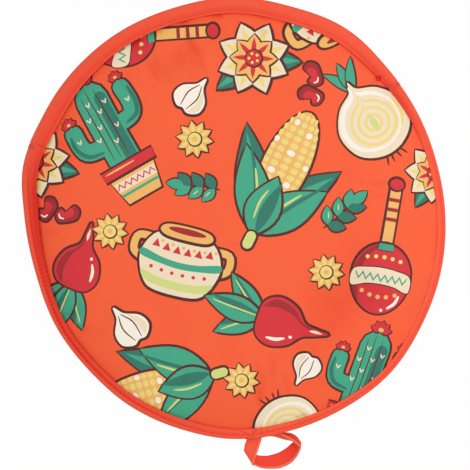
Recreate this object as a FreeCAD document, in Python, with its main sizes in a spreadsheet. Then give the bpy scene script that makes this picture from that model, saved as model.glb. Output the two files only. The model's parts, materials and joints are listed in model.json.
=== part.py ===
import FreeCAD, Part
import math
import os
import Sketcher

# A round cloth pouch that keeps tortillas warm, lying flat and empty.
# Two padded panels are bound together round their rim and left open at the mouth.
#
# Frame: the origin is the pouch's centre on the table, +Z is up, and the middle of the
# mouth points along +Y. The hanging loop points along -Y.
# Lengths are millimetres and angles are degrees.

SIZES = [
    # the pouch
    ("pouch_diameter", 305, "over the binding, laid flat"),
    ("mouth_half_angle", 60, "from the mouth's middle to each of its ends"),
    ("seam_height", 8, "from the table to the middle of the seam"),
    ("pocket_height", 11.5, "clear space between the linings, at the centre"),
    ("slope_width", 32, "from the flat middle of each panel out to the rim"),
    # the layers of a panel, from the outside in
    ("cover_thickness", 0.6, "printed cover cloth"),
    ("batting_loft", 3, "quilt batting, loose"),
    ("batting_pressed", 0.6, "quilt batting, squeezed in the seam"),
    ("film_thickness", 0.25, "moisture film"),
    ("lining_thickness", 0.5, "lining cloth"),
    ("ply_gap", 0.1, "air between layers that lie on each other"),
    # the binding
    ("binding_width", 10.3, "seen from above"),
    ("binding_fold", 1, "outer leg and edge, where the tape is folded double"),
    ("binding_inner_leg", 0.5, "leg inside the mouth, a single tape"),
    ("binding_bevel", 1.4, "where the tape turns over the rim"),
    ("lip_clearance", 0.3, "between the two lips when the mouth is shut"),
    # the bend of the flap
    ("bend_gap", 0.3, "between the rear of the top panel and its flap"),
    ("mouth_lift_angle", 6, "how far the flap stands open by itself"),
    # the stitched bars at the mouth's ends
    ("tack_length", 6, "across the binding"),
    ("tack_width", 2.5, "along the rim"),
    ("tack_thickness", 0.5, "height of the thread"),
    ("tack_setback", 2.5, "from the mouth's end to the bar's middle, along the rim"),
    # the hanging loop
    ("loop_tape_width", 8.5, "width of the tape"),
    ("loop_tape_thickness", 1.1, "the tape folded double"),
    ("loop_width", 37, "over both legs"),
    ("loop_reach", 23.5, "from the bend of the loop to its far end"),
    ("loop_corner", 3.5, "inner radius of each turn"),
    ("loop_stub", 3.5, "from the rim to the bend of the loop"),
    ("loop_seat", 8.5, "length of tape sewn under the rim"),
    ("loop_droop_angle", 7.5, "how far the loop hangs to the table"),
    ("loop_tack_length", 6.5, "of the thread bar across each end of the loop"),
    ("loop_tack_width", 2, "of the same bar"),
]

doc = FreeCAD.newDocument("TortillaWarmer")
sheet = doc.addObject("Spreadsheet::Sheet", "Sizes")
for row, (alias, value, meaning) in enumerate(SIZES, start=1):
    sheet.set(f"A{row}", meaning)
    sheet.set(f"B{row}", str(value))
    sheet.setAlias(f"B{row}", alias)
doc.recompute()


def number(expression):
    """What an expression over the sheet comes to, as a plain number."""
    return float(sheet.evalExpression(expression))


def size(alias):
    return f"Sizes.{alias}"


def plus(*terms):
    return "(" + " + ".join(terms) + ")"


def minus(first, *rest):
    return "(" + " - ".join((first,) + rest) + ")"


# ---- Heights and radii that several pieces share ----

GAP = size("ply_gap")
RIM = f"({size('pouch_diameter')} / 2)"
SLOPE = size("slope_width")
FLAT_EDGE = minus(RIM, SLOPE)  # each panel is flat inside this radius
PLY_EDGE = minus(RIM, size("binding_bevel"))
BEND = f"({RIM} * cos({size('mouth_half_angle')}))"  # the flap bends along this line of Y

# each layer with its thickness in the middle and at the rim
LAYERS = {
    "cover": {"middle": size("cover_thickness"), "edge": size("cover_thickness")},
    "batting": {"middle": size("batting_loft"), "edge": size("batting_pressed")},
    "film": {"middle": size("film_thickness"), "edge": size("film_thickness")},
    "lining": {"middle": size("lining_thickness"), "edge": size("lining_thickness")},
}


def depth(layer, where):
    """How deep the layer's outer face lies under the panel's outer face."""
    above = list(LAYERS)[: list(LAYERS).index(layer)]
    return plus("0", *[f"{LAYERS[ply][where]} + {GAP}" for ply in above])


def panel_thickness(where):
    return plus(depth("lining", where), LAYERS["lining"][where])


HALF_LIP = f"{size('lip_clearance')} / 2"
INNER_LEG = size("binding_inner_leg")
PANEL_FACE = plus(HALF_LIP, INNER_LEG, GAP, panel_thickness("edge"))  # from the middle of the seam
CROWN = plus(panel_thickness("middle"), size("pocket_height"), panel_thickness("middle"))


def layer_heights(panel, layer, face):
    """The height of a layer's face in its flat middle, and where its slope reaches the rim."""
    down = {}
    for where, thickness in LAYERS[layer].items():
        outer = depth(layer, where)
        down[where] = outer if face == "outer" else plus(outer, thickness)
    if panel == "bottom":
        return down["middle"], plus(minus(size("seam_height"), PANEL_FACE), down["edge"])
    return minus(CROWN, down["middle"]), minus(plus(size("seam_height"), PANEL_FACE), down["edge"])


def slope_height(panel, layer, face, radius):
    """The height of a layer's sloping face at a radius."""
    middle, edge = layer_heights(panel, layer, face)
    return plus(edge, f"({middle} - {edge}) * ({RIM} - {radius}) / {SLOPE}")


# ---- Sketching ----


def new_body(label):
    body = doc.addObject("PartDesign::Body", label)
    body.Label = label
    return body


def new_sketch(body, name, plane):
    """A sketch on one of the body's own origin planes."""
    sketch = body.newObject("Sketcher::SketchObject", f"{body.Label}_{name}")
    support = next(f for f in body.Origin.OriginFeatures if f.Role == plane)
    sketch.AttachmentSupport = (support, "")
    sketch.MapMode = "FlatFace"
    return sketch


def hold(sketch, kind, *where, to=None):
    """Constrain the sketch. A constraint with a value takes it from the sheet."""
    value = [] if to is None else [number(to)]
    index = sketch.addConstraint(Sketcher.Constraint(kind, *where, *value))
    if to is not None:
        sketch.setExpression(f"Constraints[{index}]", to)


ORIGIN = (-1, 1)
AXES = {"level": -1, "upright": -2}  # how a sketch numbers its own axes
START, END = range(1, 3)  # and the two ends of an edge


def add_line(sketch, first, last):
    line = Part.LineSegment(FreeCAD.Vector(*first, 0), FreeCAD.Vector(*last, 0))
    return sketch.addGeometry(line, False)


def add_arc(sketch, centre, radius, first_angle, last_angle):
    """An arc that runs anticlockwise; its angles are in degrees."""
    circle = Part.Circle(FreeCAD.Vector(*centre, 0), FreeCAD.Vector(0, 0, 1), radius)
    arc = Part.ArcOfCircle(circle, math.radians(first_angle), math.radians(last_angle))
    return sketch.addGeometry(arc, False)


def hold_place(sketch, line, point, across=None, up=None):
    """Hold a point at a distance across and up from the origin. Either may be left out."""
    for kind, axis, distance in (("DistanceX", "upright", across), ("DistanceY", "level", up)):
        if distance is None:
            continue
        if abs(number(distance)) < 1e-9:
            hold(sketch, "PointOnObject", line, point, AXES[axis])
        elif number(distance) > 0:
            hold(sketch, kind, *ORIGIN, line, point, to=distance)
        else:
            hold(sketch, kind, line, point, *ORIGIN, to=f"-1 * {distance}")


def add_polygon(sketch, corners):
    """Straight edges through corners, which are expressions (across, up)."""
    places = [(number(across), number(up)) for across, up in corners]
    lines = [add_line(sketch, places[i - 1], place) for i, place in enumerate(places)]
    for i, line in enumerate(lines):
        hold(sketch, "Coincident", lines[i - 1], END, line, START)
    for line, (across, up) in zip(lines, corners):
        hold_place(sketch, line, END, across, up)


def add_outline(sketch, corners):
    """Level and upright edges in turn, the first one level, with some corners rounded.

    A corner is (across, up) or (across, up, radius), in expressions.
    """
    count = len(corners)
    places = [FreeCAD.Vector(number(c[0]), number(c[1]), 0) for c in corners]
    radii = [number(c[2]) if len(c) > 2 else 0 for c in corners]
    ways = [(places[(i + 1) % count] - places[i]).normalize() for i in range(count)]
    edges = []
    for i in range(count):
        start = places[i] + ways[i] * radii[i]
        end = places[(i + 1) % count] - ways[i] * radii[(i + 1) % count]
        edges.append(add_line(sketch, (start.x, start.y), (end.x, end.y)))
    for i, edge in enumerate(edges):
        before = edges[i - 1]
        if radii[i]:
            centre = places[i] - ways[i - 1] * radii[i] + ways[i] * radii[i]
            turns_left = ways[i - 1].cross(ways[i]).z > 0
            first = ways[i] * -1 if turns_left else ways[i - 1]
            first_angle = math.degrees(math.atan2(first.y, first.x))
            arc = add_arc(sketch, (centre.x, centre.y), radii[i], first_angle, first_angle + 90)
            near, far = (START, END) if turns_left else (END, START)
            hold(sketch, "Tangent", before, END, arc, near)
            hold(sketch, "Tangent", arc, far, edge, START)
            hold(sketch, "Radius", arc, to=corners[i][2])
        else:
            hold(sketch, "Coincident", before, END, edge, START)
        if i % 2 == 0:
            hold(sketch, "Horizontal", edge)
            hold_place(sketch, edge, START, up=corners[i][1])
        else:
            hold(sketch, "Vertical", edge)
            hold_place(sketch, edge, START, across=corners[i][0])


# ---- Panels ----


def add_ply_section(sketch, panel, layer):
    """Half a layer's section, from the axis out: a flat middle, and a slope to the rim."""
    corners = []
    for face in ("outer", "inner"):
        middle = layer_heights(panel, layer, face)[0]
        edge = slope_height(panel, layer, face, PLY_EDGE)
        side = [("0", middle), (FLAT_EDGE, middle), (PLY_EDGE, edge)]
        corners += side if face == "outer" else side[::-1]
    add_polygon(sketch, corners)


def add_film_section(sketch, panel):
    """The film is a plain disc, bonded to the flat of the batting."""
    outer, inner = [layer_heights(panel, "film", face)[0] for face in ("outer", "inner")]
    add_polygon(sketch, [("0", outer), (FLAT_EDGE, outer), (FLAT_EDGE, inner), ("0", inner)])


def revolve(body, sketch, angle="360"):
    turned = body.newObject("PartDesign::Revolution", f"{body.Label}_turned")
    turned.Profile = sketch
    turned.ReferenceAxis = (sketch, ["V_Axis"])
    turned.setExpression("Angle", angle)
    return turned


def cut_at_bend(body, keep):
    """Cut a ring or panel along the line where the flap bends, and keep one side of it."""
    beyond = RIM + " * 2"
    line = BEND if keep == "mouth" else minus(BEND, size("bend_gap"))
    far = f"-1 * {beyond}" if keep == "mouth" else beyond
    sketch = new_sketch(body, "cut", "XY_Plane")
    left, right = f"-1 * {beyond}", beyond
    add_outline(sketch, [(left, line), (right, line), (right, far), (left, far)])
    whole = body.Tip
    cut = body.newObject("PartDesign::Pocket", f"{body.Label}_cut_off")
    cut.Profile = sketch
    cut.Type = "ThroughAll"
    cut.SideType = "Symmetric"
    doc.recompute()
    if cut.Shape.Volume > 0.999 * whole.Shape.Volume:
        raise RuntimeError(f"{body.Label}: the cut at the bend removed nothing")


def lift_with_flap(body):
    """Turn a piece of the flap about the bend, to where it stands by itself."""
    angle = size("mouth_lift_angle")
    body.Placement = FreeCAD.Placement(
        FreeCAD.Vector(), FreeCAD.Rotation(FreeCAD.Vector(1, 0, 0), number(angle))
    )
    body.setExpression(".Placement.Rotation.Angle", angle)
    body.setExpression(".Placement.Base.y", f"{BEND} * (1 - cos({angle})) + {CROWN} * sin({angle})")
    body.setExpression(".Placement.Base.z", f"{CROWN} * (1 - cos({angle})) - {BEND} * sin({angle})")


def make_ply(label, panel, layer, keep=None):
    body = new_body(label)
    sketch = new_sketch(body, "section", "XZ_Plane")
    if layer == "film":
        add_film_section(sketch, panel)
    else:
        add_ply_section(sketch, panel, layer)
    revolve(body, sketch)
    doc.recompute()
    if keep:
        cut_at_bend(body, keep)
    return body


# ---- Bindings and tacks, all of which clasp the rim like a C ----

FOLD = size("binding_fold")
BEVEL = size("binding_bevel")
BINDING_START = minus(RIM, size("binding_width"))
WEB = minus(RIM, FOLD)  # the inner face of the binding's edge


def over_cover(panel, radius, lift):
    """A height that is lift clear of a panel's cover, on its outside."""
    way = "+" if panel == "top" else "-"
    return f"({slope_height(panel, 'cover', 'outer', radius)} {way} {lift})"


def inside_lining(panel, radius, lift):
    """A height that is lift clear of a panel's lining, on the pocket side."""
    way = "-" if panel == "top" else "+"
    return f"({slope_height(panel, 'lining', 'inner', radius)} {way} {lift})"


def outer_edge(panel, start, swell="0"):
    """The binding's outside from its sewn edge to its bevel, or a line that is swell outside it."""
    way = "-" if panel == "top" else "+"
    lift = plus(GAP, FOLD, swell)
    over_edge = over_cover(panel, RIM, plus(GAP, FOLD))
    return [
        (start, over_cover(panel, start, lift)),
        (minus(RIM, BEVEL), over_cover(panel, minus(RIM, BEVEL), lift)),
        (plus(RIM, swell), f"({over_edge} {way} {BEVEL})"),
    ]


def lip_edge(panel):
    """The binding's outside along a lip of the mouth, from the rim inwards."""
    lift = plus(GAP, INNER_LEG)
    return [(r, inside_lining(panel, r, lift)) for r in (RIM, BINDING_START)]


def make_binding(label, panels, keep):
    """A length of binding, round the edge of one panel or of both."""
    body = new_body(label)
    sketch = new_sketch(body, "section", "XZ_Plane")
    if panels == ["bottom", "top"]:
        outside = outer_edge("bottom", BINDING_START) + outer_edge("top", BINDING_START)[::-1]
        upper, lower = [over_cover(panel, WEB, GAP) for panel in ("top", "bottom")]
        upper_start, lower_start = [over_cover(panel, BINDING_START, GAP) for panel in ("top", "bottom")]
        inside = [(BINDING_START, upper_start), (WEB, upper), (WEB, lower), (BINDING_START, lower_start)]
    else:
        panel = panels[0]
        outside = outer_edge(panel, BINDING_START) + lip_edge(panel)
        inside = [(r, inside_lining(panel, r, GAP)) for r in (BINDING_START, WEB)]
        inside += [(r, over_cover(panel, r, GAP)) for r in (WEB, BINDING_START)]
    add_polygon(sketch, outside + inside)
    revolve(body, sketch)
    doc.recompute()
    cut_at_bend(body, keep)
    return body


def make_mouth_tack(label, side):
    """A short bar of thread round the rim, just behind one end of the mouth."""
    body = new_body(label)
    sketch = new_sketch(body, "section", "XZ_Plane")
    start_radius = minus(RIM, size("tack_length"))
    thread = plus(GAP, size("tack_thickness"))
    outside = [outer_edge(panel, start_radius, thread) for panel in ("bottom", "top")]
    inside = [outer_edge(panel, start_radius, GAP) for panel in ("top", "bottom")]
    add_polygon(sketch, outside[0] + outside[1][::-1] + inside[0] + inside[1][::-1])
    one_degree = f"({RIM} * pi / 180)"
    width = f"({size('tack_width')} / {one_degree})"
    revolve(body, sketch, width)
    setback = f"({size('tack_setback')} / {one_degree})"
    middle = f"(90 - {side} * ({size('mouth_half_angle')} + {setback}))"
    start = f"{middle} - {width} / 2"
    body.Placement = FreeCAD.Placement(
        FreeCAD.Vector(), FreeCAD.Rotation(FreeCAD.Vector(0, 0, 1), number(start))
    )
    body.setExpression(".Placement.Rotation.Angle", start)
    return body


# ---- The hanging loop ----

TAPE = size("loop_tape_thickness")
LOOP_BEND = plus(RIM, size("loop_stub"))  # how far the loop's bend is from the centre
SEAT_START = minus(RIM, size("loop_seat"))
SEAT_END = minus(LOOP_BEND, f"{TAPE} / 2", size("bend_gap"))
RIM_RISE = f"({layer_heights('bottom', 'cover', 'outer')[1]} / {SLOPE})"  # rise per millimetre outwards
RIM_TILT = f"atan({RIM_RISE})"


def under_rim(radius, drop):
    """A height that is drop below the rim binding's underside, carried on past the rim."""
    return over_cover("bottom", radius, plus(GAP, FOLD, drop))


def make_hanging_loop():
    """Tape that leaves the rim, turns round twice and comes back, drawn about its bend."""
    body = new_body("hanging_loop")
    sketch = new_sketch(body, "outline", "XY_Plane")
    tape, turn = size("loop_tape_width"), size("loop_corner")
    right, inner_right = f"{size('loop_width')} / 2", minus(f"{size('loop_width')} / 2", tape)
    left, inner_left = f"-1 * {right}", f"-1 * {inner_right}"
    far, inner_far = f"-1 * {size('loop_reach')}", f"-1 * {minus(size('loop_reach'), tape)}"
    add_outline(
        sketch,
        [
            (inner_right, "0"),
            (right, "0"),
            (right, far, plus(turn, tape)),
            (left, far, plus(turn, tape)),
            (left, "0"),
            (inner_left, "0"),
            (inner_left, inner_far, turn),
            (inner_right, inner_far, turn),
        ],
    )
    pad = body.newObject("PartDesign::Pad", "hanging_loop_tape")
    pad.Profile = sketch
    pad.SideType = "Symmetric"
    pad.setExpression("Length", TAPE)
    droop = size("loop_droop_angle")
    body.Placement = FreeCAD.Placement(
        FreeCAD.Vector(), FreeCAD.Rotation(FreeCAD.Vector(1, 0, 0), number(droop))
    )
    body.setExpression(".Placement.Rotation.Angle", droop)
    body.setExpression(".Placement.Base.y", f"-1 * {LOOP_BEND}")
    body.setExpression(".Placement.Base.z", under_rim(LOOP_BEND, f"{GAP} + {TAPE} / 2"))
    return body


def make_pair(label, width, inner_end, outer_end, drop, thickness):
    """Two equal blocks in line with the loop's legs, drop below the rim and tilted with it."""
    middle = f"({size('loop_width')} - {size('loop_tape_width')}) / 2"
    blocks = []
    for side in ("left", "right"):
        block = doc.addObject("Part::Box", f"{label}_{side}")
        block.setExpression("Length", width)
        block.setExpression("Width", f"{minus(outer_end, inner_end)} / cos({RIM_TILT})")
        block.setExpression("Height", thickness)
        block.Placement = FreeCAD.Placement(
            FreeCAD.Vector(), FreeCAD.Rotation(FreeCAD.Vector(-1, 0, 0), number(RIM_TILT))
        )
        block.setExpression(".Placement.Rotation.Angle", RIM_TILT)
        sign = -1 if side == "left" else 1
        block.setExpression(".Placement.Base.x", f"{sign} * {middle} - {width} / 2")
        block.setExpression(".Placement.Base.y", f"-1 * {outer_end}")
        height = under_rim(outer_end, plus(drop, f"{thickness} / cos({RIM_TILT})"))
        block.setExpression(".Placement.Base.z", height)
        blocks.append(block)
    pair = doc.addObject("Part::Compound", label)
    pair.Label = label
    pair.Links = blocks
    return pair


def make_loop_ends():
    """The two ends of the loop's tape, laid under the rim binding and sewn there."""
    return make_pair("loop_ends", size("loop_tape_width"), SEAT_START, SEAT_END, GAP, TAPE)


def make_loop_tacks():
    """A bar of thread across each end of the loop, on its underside."""
    middle = minus(RIM, f"{size('loop_seat')} / 2")
    half = f"{size('loop_tack_width')} / 2"
    start, end = minus(middle, half), plus(middle, half)
    drop = plus(GAP, f"{TAPE} / cos({RIM_TILT})", GAP)
    return make_pair("loop_bar_tacks", size("loop_tack_length"), start, end, drop, size("tack_thickness"))


# ---- The pieces ----

flap_pieces = []
pieces = []
for layer in LAYERS:
    pieces.append(make_ply(f"bottom_{layer}", "bottom", layer))
    pieces.append(make_ply(f"top_{layer}", "top", layer, keep="rear"))
    flap_pieces.append(make_ply(f"flap_{layer}", "top", layer, keep="mouth"))

pieces.append(make_binding("rim_binding", ["bottom", "top"], keep="rear"))
pieces.append(make_binding("lower_mouth_binding", ["bottom"], keep="mouth"))
flap_pieces.append(make_binding("upper_mouth_binding", ["top"], keep="mouth"))
for piece in flap_pieces:
    lift_with_flap(piece)
pieces += flap_pieces

pieces.append(make_mouth_tack("right_mouth_tack", 1))
pieces.append(make_mouth_tack("left_mouth_tack", -1))
pieces.append(make_loop_ends())
pieces.append(make_loop_tacks())
pieces.append(make_hanging_loop())

doc.recompute()

# ---- Checks, then the files ----

for thing in doc.Objects:
    if "Invalid" in thing.State or "Error" in thing.State:
        raise RuntimeError(f"{thing.Label} failed: {thing.State}")
for piece in pieces:
    shape = piece.Shape
    if shape.isNull() or not shape.isValid() or not shape.Solids:
        raise RuntimeError(f"{piece.Label} has no valid solid")

os.makedirs("parts", exist_ok=True)
for piece in pieces:
    piece.Shape.exportStep(f"parts/{piece.Label}.step")
    print(f"{piece.Label}: {len(piece.Shape.Solids)} solid, {piece.Shape.Volume / 1000:.2f} cm3")
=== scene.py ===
# %% [markdown]
# # A round cloth pouch that keeps tortillas warm
#
# The pouch is two padded panels of printed cloth, bound together round their rim and left
# open along a third of it. Each panel is a stack: printed cover, quilt batting, a film that
# holds moisture, and a lining. A small loop of tape hangs it up.
#
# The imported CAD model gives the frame: bodies, joints and sizes. Everything below is
# built in that same frame, in metres, with +Z up and the mouth towards +Y.

# %% Load the frame
import json
import math

import bpy
import numpy as np
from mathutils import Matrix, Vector, noise
from mathutils.geometry import delaunay_2d_cdt


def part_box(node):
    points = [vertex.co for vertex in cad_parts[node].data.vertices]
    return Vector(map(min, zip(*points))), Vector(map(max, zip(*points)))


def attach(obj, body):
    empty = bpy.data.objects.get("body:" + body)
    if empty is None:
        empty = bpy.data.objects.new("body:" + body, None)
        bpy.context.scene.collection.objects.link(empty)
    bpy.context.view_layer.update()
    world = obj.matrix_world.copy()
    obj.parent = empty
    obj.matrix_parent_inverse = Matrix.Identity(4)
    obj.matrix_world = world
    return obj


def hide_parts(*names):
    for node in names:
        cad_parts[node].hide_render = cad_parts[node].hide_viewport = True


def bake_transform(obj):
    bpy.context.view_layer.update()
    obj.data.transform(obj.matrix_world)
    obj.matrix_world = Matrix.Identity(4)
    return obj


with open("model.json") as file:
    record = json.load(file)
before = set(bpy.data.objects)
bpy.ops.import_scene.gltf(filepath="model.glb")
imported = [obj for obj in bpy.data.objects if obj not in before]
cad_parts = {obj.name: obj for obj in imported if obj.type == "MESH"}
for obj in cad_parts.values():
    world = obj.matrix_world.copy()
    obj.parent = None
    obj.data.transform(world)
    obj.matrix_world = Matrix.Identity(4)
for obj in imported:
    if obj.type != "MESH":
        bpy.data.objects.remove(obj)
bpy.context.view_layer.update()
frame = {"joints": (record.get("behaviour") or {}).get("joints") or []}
MM = 0.001

# %% [markdown]
# ## Sizes
#
# The driving sizes come from the CAD nodes, so that every visible piece lies where its solid
# does. Cloth is never as regular as a drawing: the rim is a little oval, sticks out where the
# mouth's ends are sewn, and its tape looks wide in one place and narrow in another. Those
# irregular sizes are small tables that are read round the rim.

# %% Sizes from the frame
MEAN_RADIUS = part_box("rim_binding")[1].x
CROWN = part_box("top_cover")[1].z
hinge = next(j for j in frame["joints"] if j["name"] == "mouth_open")
BEND = Vector(hinge["pos_m"])
REST_LIFT = math.radians(-hinge["range_deg"][0])  # the mouth stands open this far by itself
BEND_END = BEND.y + 34 * MM  # the flap's cloth bends between here and the hinge

SEAM = 8 * MM  # height of the seam's middle
EDGE_TOP = 11 * MM  # height of the top cover at the rim
EDGE_BOTTOM = 5 * MM  # height of the bottom cover at the rim
TOP_SHOULDER = 60 * MM  # from the rim to where the top panel is flat
BOTTOM_SHOULDER = 38 * MM
TAPE = 1 * MM  # tape folded double
PLY_END = 1.5 * MM  # from the rim to the edge of the cloth inside the binding


# %% Reading a table round the rim
def ease(share):
    return share * share * (3 - 2 * share)


def bell(away, width):
    """1 at no distance, falling smoothly to 0 over about twice the width."""
    return np.exp(-((away / width) ** 2))


def ripple(x, y, size, seed):
    """Smooth unevenness from about -1 to 1, the same on every run."""
    spots = zip(np.ravel(x) / size, np.ravel(y) / size)
    return np.array([noise.noise(Vector((a, b, seed))) for a, b in spots]).reshape(np.shape(x))


def ripples(x, y, waves):
    """Adds up ripples, from rows of (height, size in mm, how much of y counts, seed)."""
    return sum(high * ripple(x, y * part, size * MM, seed) for high, size, part, seed in waves)


def smooth_curve(points, count):
    """A Catmull-Rom curve through points, as count points."""
    points = np.asarray(points, float)
    padded = np.vstack([2 * points[0] - points[1], points, 2 * points[-1] - points[-2]])
    at = np.linspace(0, len(points) - 1, count)
    low = np.minimum(at.astype(int), len(points) - 2)
    t = (at - low)[:, None]
    a, b, c, d = (padded[low + i] for i in range(4))
    bent = (2 * a - 5 * b + 4 * c - d) * t ** 2 + (3 * b - a - 3 * c + d) * t ** 3
    return (2 * b + (c - a) * t + bent) / 2


WRAP, FINE = 3, 16  # rows read again past the table's ends, and points on the line for each row


def around(angle, table):
    """Reads rows of (angle, value) round the rim, on a smooth line through them."""
    before = [(key - 360, value) for key, value in table[-WRAP:]]
    after = [(key + 360, value) for key, value in table[:WRAP]]
    line = smooth_curve(before + table + after, FINE * (len(table) + 2 * WRAP))
    return np.interp(np.asarray(angle) % 360, *line.T)


# %% The rim, as (degrees from +X, millimetres)
RIM = [
    (5, 147.7), (20, 148.5), (35, 150.2), (50, 152.6), (65, 151.4), (80, 152.4), (96, 151.0),
    (112, 151.4), (126, 151.5), (141, 151.9), (156, 153.5), (170, 148.2), (186, 145.8), (202, 147.8),
    (217, 149.2), (231, 152.4), (247, 154.6), (260, 156.6), (275, 155.8), (290, 155.5), (305, 155.6),
    (320, 152.6), (335, 150.7), (350, 148.8),
]
MOUTH = (30, 150)  # the mouth's two ends
TAPE_WIDTH = [
    (8, 6.6), (25, 8.6), (36, 10.4), (50, 11.8), (70, 11.7), (100, 11.0), (120, 11.4), (140, 12.6),
    (154, 12.4), (170, 11.0), (185, 8.9), (200, 8.0), (215, 7.8), (235, 8.5), (255, 8.0), (290, 6.5),
    (310, 6.0), (330, 6.7), (350, 6.9),
]


def rim_radius(angle):
    return around(angle, RIM) * MM


def tape_width(angle):
    """How much of the tape shows from above."""
    return around(angle, TAPE_WIDTH) * MM


def polar(x, y):
    """The angle in degrees, and the distance inwards from the rim."""
    angle = np.degrees(np.arctan2(y, x)) % 360
    return angle, rim_radius(angle) - np.hypot(x, y)


def on_rim(angle, inside, *height):
    """The other way: points at an angle and inside the rim, in the plane or at a height."""
    radius, turn = rim_radius(angle) - inside, np.radians(angle)
    return np.stack([radius * np.cos(turn), radius * np.sin(turn), *height], axis=-1)


rim_line = rim_radius(np.arange(360)) / MM
print(f"rim radius: {rim_line.min():.1f} to {rim_line.max():.1f} mm, mean {rim_line.mean():.1f}")

# %% [markdown]
# ## The swell of a padded panel
#
# Seen from the side, a bound panel is a low pillow. Batting pushes the cloth up in the
# middle, the seam pins it down at the rim, and the pinned edge gathers into little puckers.
# Sculpting could give this form by eye, but each layer under the cover would need the same
# work again. A height for every point of the plane says it all in one function, and the
# layers under the cover follow it at a fixed depth.


# %% Heights of the two covers
CROWN_BEND, KEEL_BEND = 2.2, 1.5  # how quickly each panel rounds off near the rim


def crown(inside):
    """Height of the top cover at a distance inside the rim, before any unevenness."""
    share = np.clip(inside / TOP_SHOULDER, 0, 1)
    return EDGE_TOP + (CROWN - EDGE_TOP) * (1 - (1 - share) ** CROWN_BEND)


def keel(inside):
    """Height of the bottom cover's underside: flat on the table, rising to the rim."""
    share = np.clip(inside / BOTTOM_SHOULDER, 0, 1)
    return EDGE_BOTTOM * (1 - share) ** KEEL_BEND


# %% The crease and the puckers along the tape
CREASE_DEPTH, CREASE_REACH = 1.1 * MM, 2.4 * MM
# how hard the tape pulls the cover down at each angle, and how much shade is painted where the cover meets
# the tape
TUCKS_AND_SHADE = [
    (0, 0.1), (50, 0.5), (90, 0.5), (120, 0.65), (170, 0.9), (215, 0.6), (262, 0.3), (310, 0.08),
    (340, 0.08),
]
# how high the puckers are at each angle, in mm, and how they are made up
PUCKERS = [
    (0, 0.2), (60, 0.4), (84, 0.8), (106, 1.5), (128, 0.7), (160, 0.4), (200, 0.25), (250, 0.4),
    (278, 0.9), (300, 0.3),
]
PUCKER_WAVES = [(1.0, 7, 0.25, 3.5), (0.6, 3.4, 0.3, 8.5)]  # as in ripples
PUCKER_REACH = 6 * MM


def gathers(angle, from_tape):
    """The little puckers along the tape, in millimetres up or down."""
    waves = ripples(np.radians(angle) * MEAN_RADIUS, from_tape, PUCKER_WAVES)
    return around(angle, PUCKERS) * waves * np.exp(-np.abs(from_tape) / PUCKER_REACH)


# a pinch in the cloth and a dimple: angle, mm from the tape, length, width and depth in mm
PINCHES = [(278.3, 1.3, 4.2, 0.9, 0.9), (71.4, 10.0, 5.0, 3.2, 0.6)]


def pinches(angle, from_tape):
    """How deep the cloth is pinched, in millimetres."""
    return sum(depth * bell(np.radians(angle - middle) * MEAN_RADIUS / MM, length)
               * bell(from_tape / MM - away, width) for middle, away, length, width, depth in PINCHES)


def smooth_height(angle, inside, pull=1.0):
    """The top cover pulled down to its seam, without a fold in it."""
    from_tape = np.abs(inside - tape_width(angle))
    return crown(inside) - pull * CREASE_DEPTH * around(angle, TUCKS_AND_SHADE) * np.exp(-from_tape / CREASE_REACH)


# %% [markdown]
# ## Folds that the cloth finds by itself
#
# Where the cover is gathered, more cloth goes into the seam than there is room for. It
# buckles into small folds that fan out from the tape and die away. A cloth simulation finds
# them. The sheet is held under the tape, it grows a few percent where it is gathered, and
# air under it stands for the push of the batting. It starts from a trace of unevenness,
# without which a perfect sheet wouldn't know which way to buckle.
#
# Only the folds are kept: the crown belongs to the batting, so the mean of each ring is
# taken off. No point may move far. The result is a table of heights that every layer reads.

# %% The gathered sheet
SHEET_STEP = 2 * MM
SHEET_LINES = np.arange(-78, 79) * SHEET_STEP
SHEET_HOLD = 3 * SHEET_STEP  # how far the sheet goes on under the tape, where it is held
SLACK, SLACK_REACH = 0.08, 6 * MM  # growth where the cloth is gathered most, and its reach
TRACE = 0.6  # the share of the plain puckers that the sheet starts from
SETTLE_FRAMES = 20
FOLD_LIMIT = 1.4 * MM


# %% Put Blender's Cloth on it
def cloth_sheet(points, faces, held, slack):
    """A sheet with Blender's Cloth on it, held where told and growing by its slack."""
    mesh = bpy.data.meshes.new("cover_sheet")
    mesh.from_pydata(points.tolist(), [], faces.tolist())
    sheet = bpy.data.objects.new("cover_sheet", mesh)
    bpy.context.scene.collection.objects.link(sheet)
    for name, weights in (("held", held.astype(float)), ("slack", slack)):
        group = sheet.vertex_groups.new(name=name)
        for vertex in np.flatnonzero(weights > 0.001):
            group.add([int(vertex)], float(weights[vertex]), "REPLACE")
    cloth = sheet.modifiers.new("cloth", "CLOTH")
    rules = cloth.settings
    rules.quality, rules.mass = 6, 0.3
    rules.tension_stiffness = rules.compression_stiffness = 15
    rules.shear_stiffness, rules.bending_stiffness = 5, 0.05
    rules.vertex_group_mass, rules.vertex_group_shrink = "held", "slack"
    rules.shrink_min, rules.shrink_max = 0.0, -SLACK
    rules.use_pressure, rules.uniform_pressure_force = True, 1.0
    rules.effector_weights.gravity = 0
    return sheet


# %% Let it settle, and keep the folds
def settled_heights(sheet):
    """Runs the simulation, reads how high each point ends up, and clears the sheet away."""
    for step in range(1, SETTLE_FRAMES + 1):
        bpy.context.scene.frame_set(step)
    settled = sheet.evaluated_get(bpy.context.evaluated_depsgraph_get()).data
    places = np.empty(3 * len(settled.vertices))
    settled.vertices.foreach_get("co", places)
    mesh = sheet.data
    bpy.data.objects.remove(sheet)
    bpy.data.meshes.remove(mesh)
    bpy.context.scene.frame_set(1)
    return places.reshape(-1, 3)[:, 2]


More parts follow.
